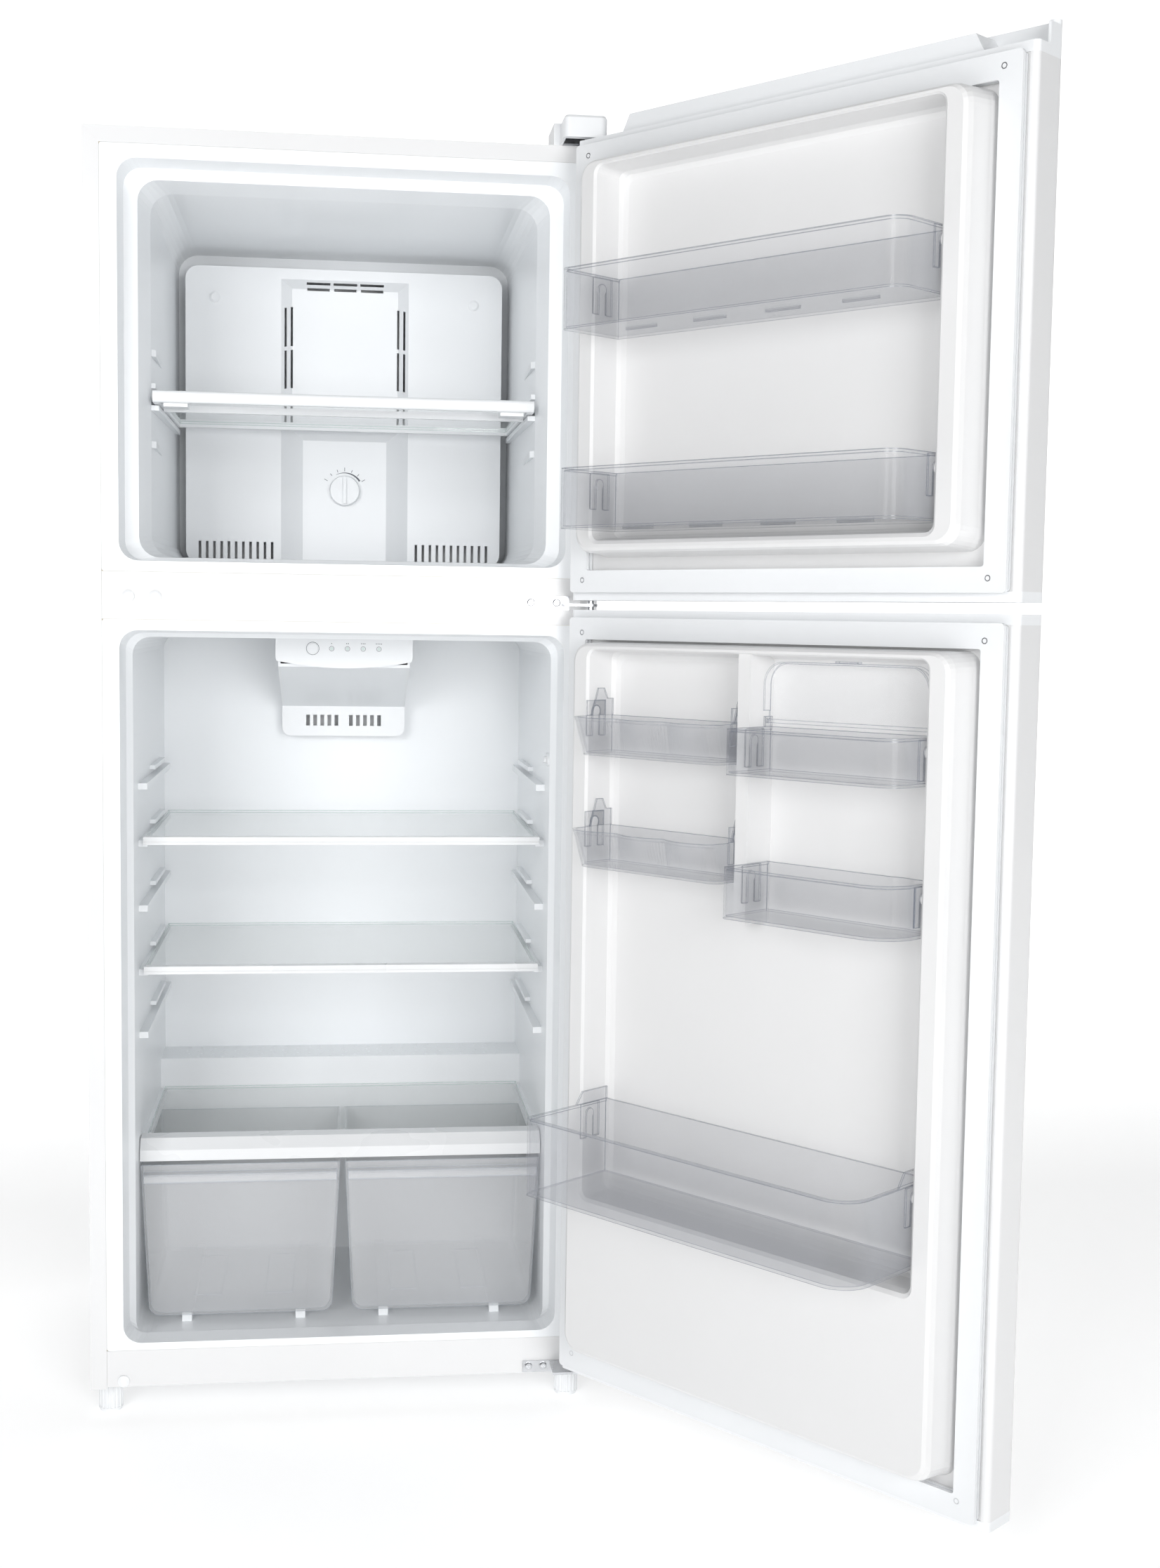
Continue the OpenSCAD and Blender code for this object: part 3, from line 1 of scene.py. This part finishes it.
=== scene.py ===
import json
import math
import bmesh
import bpy
from mathutils import Matrix, Vector


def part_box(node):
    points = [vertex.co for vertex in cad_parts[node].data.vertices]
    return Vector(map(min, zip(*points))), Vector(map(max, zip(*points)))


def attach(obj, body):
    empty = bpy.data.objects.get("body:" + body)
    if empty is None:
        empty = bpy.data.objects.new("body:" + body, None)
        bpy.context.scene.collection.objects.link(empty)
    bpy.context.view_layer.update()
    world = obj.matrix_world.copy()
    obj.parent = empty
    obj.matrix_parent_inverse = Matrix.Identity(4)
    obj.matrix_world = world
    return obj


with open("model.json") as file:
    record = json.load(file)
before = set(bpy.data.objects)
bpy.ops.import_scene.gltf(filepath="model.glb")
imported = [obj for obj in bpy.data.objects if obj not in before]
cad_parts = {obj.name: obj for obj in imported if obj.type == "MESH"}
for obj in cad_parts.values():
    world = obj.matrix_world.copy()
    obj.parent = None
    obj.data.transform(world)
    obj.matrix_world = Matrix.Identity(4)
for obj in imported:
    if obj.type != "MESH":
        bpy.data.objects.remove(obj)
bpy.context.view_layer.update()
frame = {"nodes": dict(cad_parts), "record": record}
NODES = frame["nodes"]

HALF_WIDTH = 297.5          # half the cabinet's width, in millimetres
HALF_DEPTH = 0.255          # the cabinet's front plane is at y = -HALF_DEPTH, in metres
PIN = Vector((0.286, -0.288, 0.0))      # axis of the door hinges
DOOR_ANGLE = math.radians(129.0)
# from a door's shut place to the open one that the frame holds it in
DOOR_TURN = (Matrix.Translation(PIN) @ Matrix.Rotation(DOOR_ANGLE, 4, "Z")
             @ Matrix.Translation(-PIN))


def from_front(distance):
    """Millimetres behind the cabinet's front plane, to y in the frame, in metres."""
    return distance / 1000 - HALF_DEPTH


# ------------------------------------------------------------------ materials

BUMP_DEPTH = 0.0004         # metres of relief at full bump strength
COAT_ROUGHNESS = 0.08


def material(name, color, rough, rough_spread=0.05, grain=900.0, bump=0.02, tint=0.02,
             metallic=0.0, coat=0.0, specular=0.5, cloud=5.0):
    """A procedural surface: fine grain in the bump, slow variation in colour and roughness."""
    mat = bpy.data.materials.new(name)
    mat.use_nodes = True
    tree = mat.node_tree
    shader = tree.nodes["Principled BSDF"]
    shader.inputs["Metallic"].default_value = metallic
    shader.inputs["Coat Weight"].default_value = coat
    shader.inputs["Coat Roughness"].default_value = COAT_ROUGHNESS
    shader.inputs["IOR"].default_value = 1.5
    shader.inputs["Specular IOR Level"].default_value = specular

    coords = tree.nodes.new("ShaderNodeTexCoord")
    slow = tree.nodes.new("ShaderNodeTexNoise")
    slow.inputs["Scale"].default_value = cloud
    slow.inputs["Detail"].default_value = 3.0
    tree.links.new(coords.outputs["Object"], slow.inputs["Vector"])

    ramp = tree.nodes.new("ShaderNodeValToRGB")
    ramp.color_ramp.elements[0].position = 0.3
    ramp.color_ramp.elements[1].position = 0.7
    ramp.color_ramp.elements[0].color = [max(0.0, c * (1 - tint)) for c in color] + [1]
    ramp.color_ramp.elements[1].color = [min(1.0, c * (1 + tint)) for c in color] + [1]
    tree.links.new(slow.outputs["Fac"], ramp.inputs["Fac"])
    tree.links.new(ramp.outputs["Color"], shader.inputs["Base Color"])

    spread = tree.nodes.new("ShaderNodeMapRange")
    spread.inputs["To Min"].default_value = max(0.0, rough - rough_spread)
    spread.inputs["To Max"].default_value = min(1.0, rough + rough_spread)
    tree.links.new(slow.outputs["Fac"], spread.inputs["Value"])
    tree.links.new(spread.outputs["Result"], shader.inputs["Roughness"])

    if bump:
        fine = tree.nodes.new("ShaderNodeTexNoise")
        fine.inputs["Scale"].default_value = grain
        fine.inputs["Detail"].default_value = 2.0
        tree.links.new(coords.outputs["Object"], fine.inputs["Vector"])
        relief = tree.nodes.new("ShaderNodeBump")
        relief.inputs["Strength"].default_value = bump
        relief.inputs["Distance"].default_value = BUMP_DEPTH
        tree.links.new(fine.outputs["Fac"], relief.inputs["Height"])
        tree.links.new(relief.outputs["Normal"], shader.inputs["Normal"])
    return mat


def see_through(name, color, faint, strong, edge, edge_alpha, edge_reach=0.0018, rough=0.05):
    """A clear sheet: nearly invisible face on, denser at a slant and coloured at its edges."""
    mat = material(name, color, rough, 0.03, bump=0.0, tint=0.02, coat=0.5, specular=0.7)
    tree = mat.node_tree
    shader = tree.nodes["Principled BSDF"]
    slant = tree.nodes.new("ShaderNodeLayerWeight")
    slant.inputs["Blend"].default_value = 0.35
    density = tree.nodes.new("ShaderNodeMapRange")
    density.inputs["From Min"].default_value = 0.05
    density.inputs["From Max"].default_value = 0.95
    density.inputs["To Min"].default_value = faint
    density.inputs["To Max"].default_value = strong
    tree.links.new(slant.outputs["Facing"], density.inputs["Value"])

    # how far a rounded-off normal leans away from the real one: 0 on a face, 1 at an edge
    rounded = tree.nodes.new("ShaderNodeBevel")
    rounded.samples = 6
    rounded.inputs["Radius"].default_value = edge_reach
    geometry = tree.nodes.new("ShaderNodeNewGeometry")
    agree = tree.nodes.new("ShaderNodeVectorMath")
    agree.operation = "DOT_PRODUCT"
    tree.links.new(rounded.outputs["Normal"], agree.inputs[0])
    tree.links.new(geometry.outputs["Normal"], agree.inputs[1])
    edge_mask = tree.nodes.new("ShaderNodeMapRange")
    edge_mask.inputs["From Min"].default_value = 0.995
    edge_mask.inputs["From Max"].default_value = 0.90
    tree.links.new(agree.outputs["Value"], edge_mask.inputs["Value"])

    blend = tree.nodes.new("ShaderNodeMix")
    blend.data_type = "RGBA"
    tree.links.new(edge_mask.outputs["Result"], blend.inputs["Factor"])
    tree.links.new(shader.inputs["Base Color"].links[0].from_socket, blend.inputs["A"])
    blend.inputs["B"].default_value = (*edge, 1)
    tree.links.new(blend.outputs["Result"], shader.inputs["Base Color"])
    lift = tree.nodes.new("ShaderNodeMath")
    lift.operation = "MULTIPLY"
    lift.inputs[1].default_value = edge_alpha
    tree.links.new(edge_mask.outputs["Result"], lift.inputs[0])
    most = tree.nodes.new("ShaderNodeMath")
    most.operation = "MAXIMUM"
    tree.links.new(density.outputs["Result"], most.inputs[0])
    tree.links.new(lift.outputs["Value"], most.inputs[1])
    tree.links.new(most.outputs["Value"], shader.inputs["Alpha"])
    return mat


MATS = {
    "white_steel": material("white_enamel", (0.785, 0.787, 0.791), 0.30, grain=420, bump=0.10,
                            coat=0.25, tint=0.008),
    "rear_steel": material("galvanised_sheet", (0.62, 0.63, 0.64), 0.42, 0.10, grain=60,
                           bump=0.12, metallic=0.6, tint=0.10, cloud=30),
    "white_liner": material("white_liner_plastic", (0.91, 0.93, 0.948), 0.34, 0.06, grain=700,
                            bump=0.05, tint=0.008, coat=0.1),
    # painted shade: the white liner plastic again, darker, for the inner faces of the open doors
    "door_liner": material("door_liner_painted_shade", (0.75, 0.75, 0.752), 0.34, 0.06, grain=700,
                           bump=0.05, tint=0.008, coat=0.1),
    "white_plastic": material("white_moulded_plastic", (0.85, 0.865, 0.88), 0.36, 0.05,
                              grain=1200, bump=0.08, tint=0.01),
    "foam": material("foam", (0.80, 0.72, 0.50), 0.9, 0.05, grain=300, bump=0.6, tint=0.1),
    "gasket": material("gasket_vinyl", (0.80, 0.815, 0.83), 0.52, 0.06, bump=0.10,
                       tint=0.015),
    "smoke": see_through("smoke_clear_plastic", (0.44, 0.455, 0.50), 0.055, 0.42,
                         edge=(0.16, 0.18, 0.22), edge_alpha=0.80),
    "clear": see_through("clear_plastic", (0.88, 0.90, 0.94), 0.02, 0.20,
                         edge=(0.22, 0.24, 0.29), edge_alpha=0.75),
    "crisper": see_through("crisper_plastic", (0.90, 0.915, 0.94), 0.26, 0.42,
                           edge=(0.40, 0.44, 0.50), edge_alpha=0.75),
    "pane": see_through("tempered_glass", (0.82, 0.90, 0.88), 0.03, 0.22,
                        edge=(0.42, 0.57, 0.53), edge_alpha=0.80, edge_reach=0.003, rough=0.03),
    "silver_trim": material("satin_trim", (0.80, 0.81, 0.82), 0.28, bump=0.05, tint=0.01,
                            coat=0.2),
    "zinc": material("zinc_plate", (0.66, 0.67, 0.69), 0.30, 0.12, grain=350, bump=0.10,
                     metallic=1.0, tint=0.08, cloud=60),
    "bare_metal": material("bare_aluminium", (0.72, 0.73, 0.74), 0.35, 0.1, grain=300, bump=0.1,
                           metallic=1.0, tint=0.05),
    "black_steel": material("black_enamel", (0.018, 0.018, 0.02), 0.35, 0.1, grain=350,
                            bump=0.15, tint=0.2),
    "black_plastic": material("black_moulded", (0.02, 0.02, 0.022), 0.5, 0.08, bump=0.2,
                              tint=0.2),
    "grey_plastic": material("grey_moulded", (0.10, 0.105, 0.115), 0.5, 0.08, bump=0.2,
                             tint=0.1),
    "lens": material("frosted_lens", (0.86, 0.88, 0.90), 0.35, 0.05, grain=250, bump=0.2),
    "light": material("lamp_caps", (0.72, 0.80, 0.78), 0.25, 0.05, bump=0.05),
    "mark": material("printed_marks", (0.10, 0.11, 0.13), 0.5, 0.05, bump=0.05),
}

# nodes that look different from the rest of their material slot; the door liners' darker copy of
# the white liner plastic is painted shade for their faces turned from the lights
LOOK_OF = {"freezer_door_liner": "door_liner", "fridge_door_liner": "door_liner",
           "crisper_left": "crisper", "crisper_right": "crisper"}
SLOT_OF = {entry["node"]: entry["material_slot"] for entry in frame["record"]["subparts"]}
for node, obj in NODES.items():
    obj.data.materials.clear()
    obj.data.materials.append(MATS[LOOK_OF.get(node, SLOT_OF[node])])


# ------------------------------------------------------------------ soft edges on the CAD nodes

SHARP_ANGLE = 35.0          # degrees, over which an edge stays sharp
BEVEL_ANGLE = 40.0          # degrees, over which an edge is bevelled
NODES_BY_BEVEL = {          # bevel width in metres
    0.0015: ("freezer_door_caps", "fridge_door_caps"),
    0.0014: ("freezer_liner", "fridge_liner"),
    0.0012: ("cabinet_shell", "evaporator_cover", "control_housing", "top_hinge_cover",
             "freezer_door_gasket", "fridge_door_gasket"),
    0.001: ("crisper_cover_trim", "freezer_shelf", "freezer_door_liner", "fridge_door_liner"),
    0.0008: ("freezer_knob",),
    0.0006: ("front_foot_left", "front_foot_right"),
    0.0005: ("shelf_upper_trim", "shelf_lower_trim", "top_hinge", "centre_hinge",
             "bottom_hinge", "mullion_rail", "base_rail", "set_button"),
}
BEVEL = {node: width for width, nodes in NODES_BY_BEVEL.items() for node in nodes}


def smooth(obj, angle=SHARP_ANGLE):
    """Smooth shading, with the edges over an angle kept sharp."""
    for poly in obj.data.polygons:
        poly.use_smooth = True
    mesh = bmesh.new()
    mesh.from_mesh(obj.data)
    limit = math.radians(angle)
    sharp = [len(e.link_faces) == 2 and e.calc_face_angle(0.0) > limit for e in mesh.edges]
    mesh.free()
    for edge, is_sharp in zip(obj.data.edges, sharp):
        edge.use_edge_sharp = is_sharp


for node, obj in NODES.items():
    smooth(obj)
    if node in BEVEL:
        bevel = obj.modifiers.new("edge", "BEVEL")
        bevel.width = BEVEL[node]
        bevel.segments = 2
        bevel.limit_method = "ANGLE"
        bevel.angle_limit = math.radians(BEVEL_ANGLE)
        bevel.harden_normals = True
        bevel.use_clamp_overlap = True

# ------------------------------------------------------------------ helpers for small pieces


def finish_piece(bm, name, mat, body, turn=None, smooth_angle=SHARP_ANGLE):
    """A mesh made into a visible piece that rides on a body."""
    bmesh.ops.remove_doubles(bm, verts=bm.verts, dist=1e-6)
    bmesh.ops.recalc_face_normals(bm, faces=bm.faces)
    if turn is not None:
        bm.transform(turn)
    mesh = bpy.data.meshes.new(name)
    bm.to_mesh(mesh)
    bm.free()
    obj = bpy.data.objects.new(name, mesh)
    bpy.context.scene.collection.objects.link(obj)
    mesh.materials.append(MATS[mat])
    smooth(obj, smooth_angle)
    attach(obj, body)


def join_rings(bm, rings, looped=False):
    """Faces between rings of vertices; the ends are capped, or the last joins the first."""
    count = len(rings[0])
    following = rings[1:] + rings[:1] if looped else rings[1:]
    for a, b in zip(rings, following):
        for i in range(count):
            j = (i + 1) % count
            bm.faces.new((a[i], a[j], b[j], b[i]))
    if not looped:
        bm.faces.new(rings[0])
        bm.faces.new(rings[-1])


def add_turned(bm, centre, axis, profile, count):
    """A turned shape along axis y or z, from pairs of a radius and a height on the axis."""
    x, y, z = centre
    angles = [2 * math.pi * i / count for i in range(count)]
    rings = []
    for radius, rise in profile:
        if axis == "z":
            ring = [(x + radius * math.cos(a), y + radius * math.sin(a), z + rise)
                    for a in angles]
        else:
            ring = [(x + radius * math.cos(a), y + rise, z + radius * math.sin(a))
                    for a in angles]
        rings.append([bm.verts.new(point) for point in ring])
    join_rings(bm, rings)


def add_prism(bm, outline, start, depth, chamfer):
    """A prism from an outline of (x, z) pairs, growing from y = start towards -y, metres."""
    steps = [(start, 0.0), (start - depth + chamfer, 0.0), (start - depth, chamfer)]
    cx = sum(p[0] for p in outline) / len(outline)
    cz = sum(p[1] for p in outline) / len(outline)
    rings = []
    for y, inset in steps:
        ring = []
        for x, z in outline:
            away = Vector((x - cx, z - cz))
            k = 1 - inset / max(away.length, 1e-6)
            ring.append(bm.verts.new((cx + away.x * k, y, cz + away.y * k)))
        rings.append(ring)
    join_rings(bm, rings)


def circle_outline(x, z, radius, count):
    angles = [2 * math.pi * i / count for i in range(count)]
    return [(x + radius * math.cos(a), z + radius * math.sin(a)) for a in angles]


def rounded_outline(x, z, w, h, radius, steps):
    """A rectangle w by h about (x, z) with rounded corners of so many steps each."""
    out = []
    for k, (sx, sz) in enumerate(((1, 1), (-1, 1), (-1, -1), (1, -1))):
        for i in range(steps + 1):
            a = math.radians(90 * k + 90 * i / steps)
            out.append((x + sx * (w / 2 - radius) + radius * math.cos(a),
                        z + sz * (h / 2 - radius) + radius * math.sin(a)))
    return out


def arc_band(x, z, r0, r1, start, end, steps=28, taper=1.0):
    """A band along an arc; its width goes from taper times its full width to the full width."""
    inner, outer = [], []
    for i in range(steps + 1):
        f = i / steps
        a = math.radians(start + (end - start) * f)
        half = (r1 - r0) / 2 * (taper + (1 - taper) * f)
        mid = (r0 + r1) / 2
        inner.append((x + (mid - half) * math.cos(a), z + (mid - half) * math.sin(a)))
        outer.append((x + (mid + half) * math.cos(a), z + (mid + half) * math.sin(a)))
    return inner, outer


def add_band(bm, band, start, depth, closed=False):
    """A thin raised band from an inner and an outer line; a closed one meets itself."""
    inner, outer = band
    rows = [[bm.verts.new((x, y, z)) for x, z in pts]
            for pts, y in ((inner, start), (inner, start - depth), (outer, start - depth),
                           (outer, start))]
    n = len(inner)
    for a, b in zip(rows, rows[1:] + rows[:1]):
        for i in range(n - 1):
            bm.faces.new((a[i], a[i + 1], b[i + 1], b[i]))
    if not closed:
        for i in (0, n - 1):
            bm.faces.new([row[i] for row in rows])


# ------------------------------------------------------------------ small pieces

TICKS, TICK_STEP, FIRST_TICK = 7, 20, 150       # round the knob, in degrees
TICK_HALF_WIDTH = 0.00035
MARK_DEPTH = 0.0002                             # how far a panel mark stands out
DOT_PITCH = 0.0022
LAMP_RADIUS = 0.00215                           # of one indicator light
BEZEL_HOLE = 0.0044                             # radius of the door switch guide's hole


def knob_dial():
    """Plain tick marks and a growing band round the freezer knob, without letters."""
    knob_low, knob_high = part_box("freezer_knob")
    z = (knob_low[2] + knob_high[2]) / 2
    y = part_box("evaporator_cover")[0][1]
    bm = bmesh.new()
    for k in range(TICKS):
        a = math.radians(FIRST_TICK - TICK_STEP * k)
        inner, outer = 0.0265, 0.0300 if k % 3 else 0.0315
        side = Vector((-math.sin(a), math.cos(a))) * TICK_HALF_WIDTH
        tip = [Vector((math.cos(a), math.sin(a))) * r for r in (inner, outer)]
        corners = [tip[0] - side, tip[1] - side, tip[1] + side, tip[0] + side]
        add_prism(bm, [(c.x, z + c.y) for c in corners], y, 0.00025, 0.00005)
    add_band(bm, arc_band(0, z, 0.0232, 0.0256, 118, 34, taper=0.12), y, 0.00025)
    finish_piece(bm, "knob_dial_marks", "mark", "cabinet")


def control_marks():
    """Rings round the set button and the lights, with plain dots and bars over them."""
    low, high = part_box("set_button")
    lights_low, lights_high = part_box("indicator_lights")
    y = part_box("control_housing")[0][1]
    x, z = (low[0] + high[0]) / 2, (low[2] + high[2]) / 2
    bm = bmesh.new()
    add_band(bm, arc_band(x, z, 0.0078, 0.0083, 0, 360, 40), y, MARK_DEPTH, closed=True)
    span = lights_high[0] - lights_low[0] - 2 * LAMP_RADIUS
    for k in range(4):
        lx = lights_low[0] + LAMP_RADIUS + span * k / 3
        add_band(bm, arc_band(lx, z, 0.0028, 0.0032, 0, 360), y, MARK_DEPTH, closed=True)
        for d in range(k + 1):
            dot = circle_outline(lx + (d - k / 2) * DOT_PITCH, z + 0.0066, 0.0006, 10)
            add_prism(bm, dot, y, MARK_DEPTH, 0.00003)
    for side in (-1, 1):
        bar = rounded_outline(side * 0.034, z + 0.0125, 0.030, 0.0007, 0.0003, 2)
        add_prism(bm, bar, y, MARK_DEPTH, 0.00003)
    finish_piece(bm, "control_panel_marks", "mark", "cabinet")


def switch_bezel():
    """The oblong guide that the door switch plunger comes out of."""
    low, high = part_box("door_switch")
    y, z = (low[1] + high[1]) / 2, (low[2] + high[2]) / 2
    wall = low[0] + 0.006
    bm = bmesh.new()
    outline = rounded_outline(y, z, 0.026, 0.016, 0.0079, 9)
    # the hole's points lie at the angles of the outline's
    hole = []
    for a, b in outline:
        reach = math.hypot(a - y, b - z)
        hole.append((y + BEZEL_HOLE * (a - y) / reach, z + BEZEL_HOLE * (b - z) / reach))
    rim = [(y + (a - y) * 0.92, z + (b - z) * 0.88) for a, b in outline]
    steps = [(outline, 0.0012), (outline, -0.0016), (rim, -0.0024), (hole, -0.0024),
             (hole, 0.0012)]
    rings = [[bm.verts.new((wall + dx, a, b)) for a, b in ring] for ring, dx in steps]
    join_rings(bm, rings, looped=True)
    finish_piece(bm, "door_switch_bezel", "white_plastic", "cabinet")


def ledge_studs():
    """Rows of small raised studs on the ledge over the compressor."""
    bm = bmesh.new()
    profile = ((0.0021, -0.0002), (0.0019, 0.0004), (0.0012, 0.0007))
    for row in range(4):
        y = from_front(372 + 15 * row)
        # the ledge rises 3 mm over its depth of 148 mm
        top = (357.0 + 3.0 * (10 + 15 * row) / 148) / 1000
        for col in range(27):
            x = (-13 + col) * 0.0165 + (0.004 if row % 2 else 0)
            add_turned(bm, (x, y, top), "z", profile, 12)
    finish_piece(bm, "ledge_studs", "white_liner", "cabinet", smooth_angle=60)


def gasket_screws(name, body, places):
    """Sunk screws near the corners of a door's inner face, at millimetres from the hinge side
    and from the floor, placed on the shut door."""
    bm = bmesh.new()
    y = from_front(-0.4)
    profile = ((0.0034, -0.0002), (0.0032, 0.00012), (0.0022, 0.00012), (0.0018, -0.0006))
    for across, height in places:
        centre = ((HALF_WIDTH - across) / 1000, y, height / 1000)
        add_turned(bm, centre, "y", profile, 20)
    finish_piece(bm, name, "zinc", body, turn=DOOR_TURN)


def rear_screws():
    """Pan-head screws round the rear sheet."""
    low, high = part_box("rear_panel")
    bm = bmesh.new()
    profile = ((0.0042, -0.0002), (0.0042, 0.0008), (0.0034, 0.0017), (0.0018, 0.0021))
    places = [(x, z) for z in (high[2] - 0.012, low[2] + 0.30) for x in (-0.27, -0.09, 0.09, 0.27)]
    places += [(x, z) for x in (-0.284, 0.284) for z in (0.55, 0.80, 1.05, 1.30)]
    for x, z in places:
        add_turned(bm, (x, high[1], z), "y", profile, 24)
    finish_piece(bm, "rear_screws", "zinc", "cabinet")


knob_dial()
control_marks()
switch_bezel()
ledge_studs()
gasket_screws("freezer_door_screws", "freezer_door",
              [(28, 1489), (566, 1489), (28, 1011), (566, 1011)])
gasket_screws("fridge_door_screws", "fridge_door",
              [(29, 951), (565, 951), (29, 92), (565, 92)])
rear_screws()

# ------------------------------------------------------------------ studio

SWEEP_HALF = 7.0            # half the floor's width, its reach to the front and its height
SWEEP_BACK = 2.2            # where the floor starts to curve up
SWEEP_RADIUS = 1.6
SWEEP_STEPS = 24


def sweep():
    """A pale floor that curves up into a backdrop."""
    mesh = bpy.data.meshes.new("studio_floor")
    bm = bmesh.new()
    angles = [math.radians(90 * i / SWEEP_STEPS) for i in range(SWEEP_STEPS + 1)]
    profile = [(-SWEEP_HALF, 0.0)]
    profile += [(SWEEP_BACK + SWEEP_RADIUS * math.sin(a),
                 SWEEP_RADIUS - SWEEP_RADIUS * math.cos(a)) for a in angles]
    profile.append((SWEEP_BACK + SWEEP_RADIUS, SWEEP_HALF))
    rows = [[bm.verts.new((x, y, z)) for x in (-SWEEP_HALF, SWEEP_HALF)] for y, z in profile]
    for a, b in zip(rows, rows[1:]):
        bm.faces.new((a[0], a[1], b[1], b[0]))
    bm.normal_update()
    bm.to_mesh(mesh)
    bm.free()
    obj = bpy.data.objects.new("studio_floor", mesh)
    bpy.context.scene.collection.objects.link(obj)
    for poly in mesh.polygons:
        poly.use_smooth = True
    mesh.materials.append(glowing_paper())


def glowing_paper():
    """The floor's paper, which glows more towards the backdrop."""
    paper = material("studio_paper", (0.93, 0.93, 0.93), 0.9, 0.02, grain=300, tint=0.002,
                     specular=0.0)
    tree = paper.node_tree
    shader = tree.nodes["Principled BSDF"]
    shader.inputs["Emission Color"].default_value = (1, 1, 1, 1)
    geometry = tree.nodes.new("ShaderNodeNewGeometry")
    place = tree.nodes.new("ShaderNodeSeparateXYZ")
    tree.links.new(geometry.outputs["Position"], place.inputs["Vector"])
    level = tree.nodes.new("ShaderNodeMapRange")
    level.inputs["From Min"].default_value = 0.6
    level.inputs["From Max"].default_value = 2.6
    level.inputs["To Min"].default_value = 0.36
    level.inputs["To Max"].default_value = 0.80
    tree.links.new(place.outputs["Y"], level.inputs["Value"])
    tree.links.new(level.outputs["Result"], shader.inputs["Emission Strength"])
    return paper


sweep()

scene = bpy.context.scene
world = bpy.data.worlds.new("studio")
scene.world = world
world.use_nodes = True
world.node_tree.nodes["Background"].inputs["Color"].default_value = (0.97, 0.985, 1.0, 1)
world.node_tree.nodes["Background"].inputs["Strength"].default_value = 0.18


def area_light(name, place, target, size, power):
    data = bpy.data.lights.new(name, "AREA")
    data.shape = "RECTANGLE"
    data.size, data.size_y = size
    data.energy = power
    obj = bpy.data.objects.new(name, data)
    obj.location = place
    aim = Vector(target) - Vector(place)
    obj.rotation_euler = aim.to_track_quat("-Z", "Y").to_euler()
    scene.collection.objects.link(obj)


area_light("key_left", (-1.3, -3.2, 1.5), (0.05, 0.0, 0.85), (1.2, 1.2), 40)
area_light("fill_right", (0.9, -3.5, 1.15), (0.0, 0.0, 0.85), (1.2, 1.2), 40)
area_light("low_front", (-0.2, -3.3, 0.75), (0.0, 0.0, 0.7), (1.2, 0.6), 4)
area_light("top", (0.2, -0.6, 3.4), (0.2, -0.1, 0.8), (2.4, 2.4), 5)

# ------------------------------------------------------------------ camera

# fitted to the photo's view; angles in radians
CAM_PLACE = Vector((-0.00715, -2.51013, 0.96591))
CAM_YAW, CAM_PITCH, CAM_ROLL = -0.1269, -0.08636, 0.01476
FOCAL_PIXELS, FRAME_WIDTH, SENSOR = 2709.4, 1652, 36.0


def make_camera():
    right = Vector((math.cos(CAM_YAW), math.sin(CAM_YAW), 0))
    ahead = Vector((-math.sin(CAM_YAW), math.cos(CAM_YAW), 0))
    up = Vector((0, 0, 1))
    look = math.cos(CAM_PITCH) * ahead + math.sin(CAM_PITCH) * up
    rise = math.cos(CAM_PITCH) * up - math.sin(CAM_PITCH) * ahead
    side = math.cos(CAM_ROLL) * right + math.sin(CAM_ROLL) * rise
    head = math.cos(CAM_ROLL) * rise - math.sin(CAM_ROLL) * right
    data = bpy.data.cameras.new("camera")
    data.sensor_fit = "HORIZONTAL"
    data.sensor_width = SENSOR
    data.lens = FOCAL_PIXELS / FRAME_WIDTH * SENSOR
    obj = bpy.data.objects.new("camera", data)
    turn = Matrix((side, head, -look)).transposed().to_4x4()
    obj.matrix_world = Matrix.Translation(CAM_PLACE) @ turn
    scene.collection.objects.link(obj)
    scene.camera = obj


make_camera()
scene.view_settings.view_transform = "Standard"
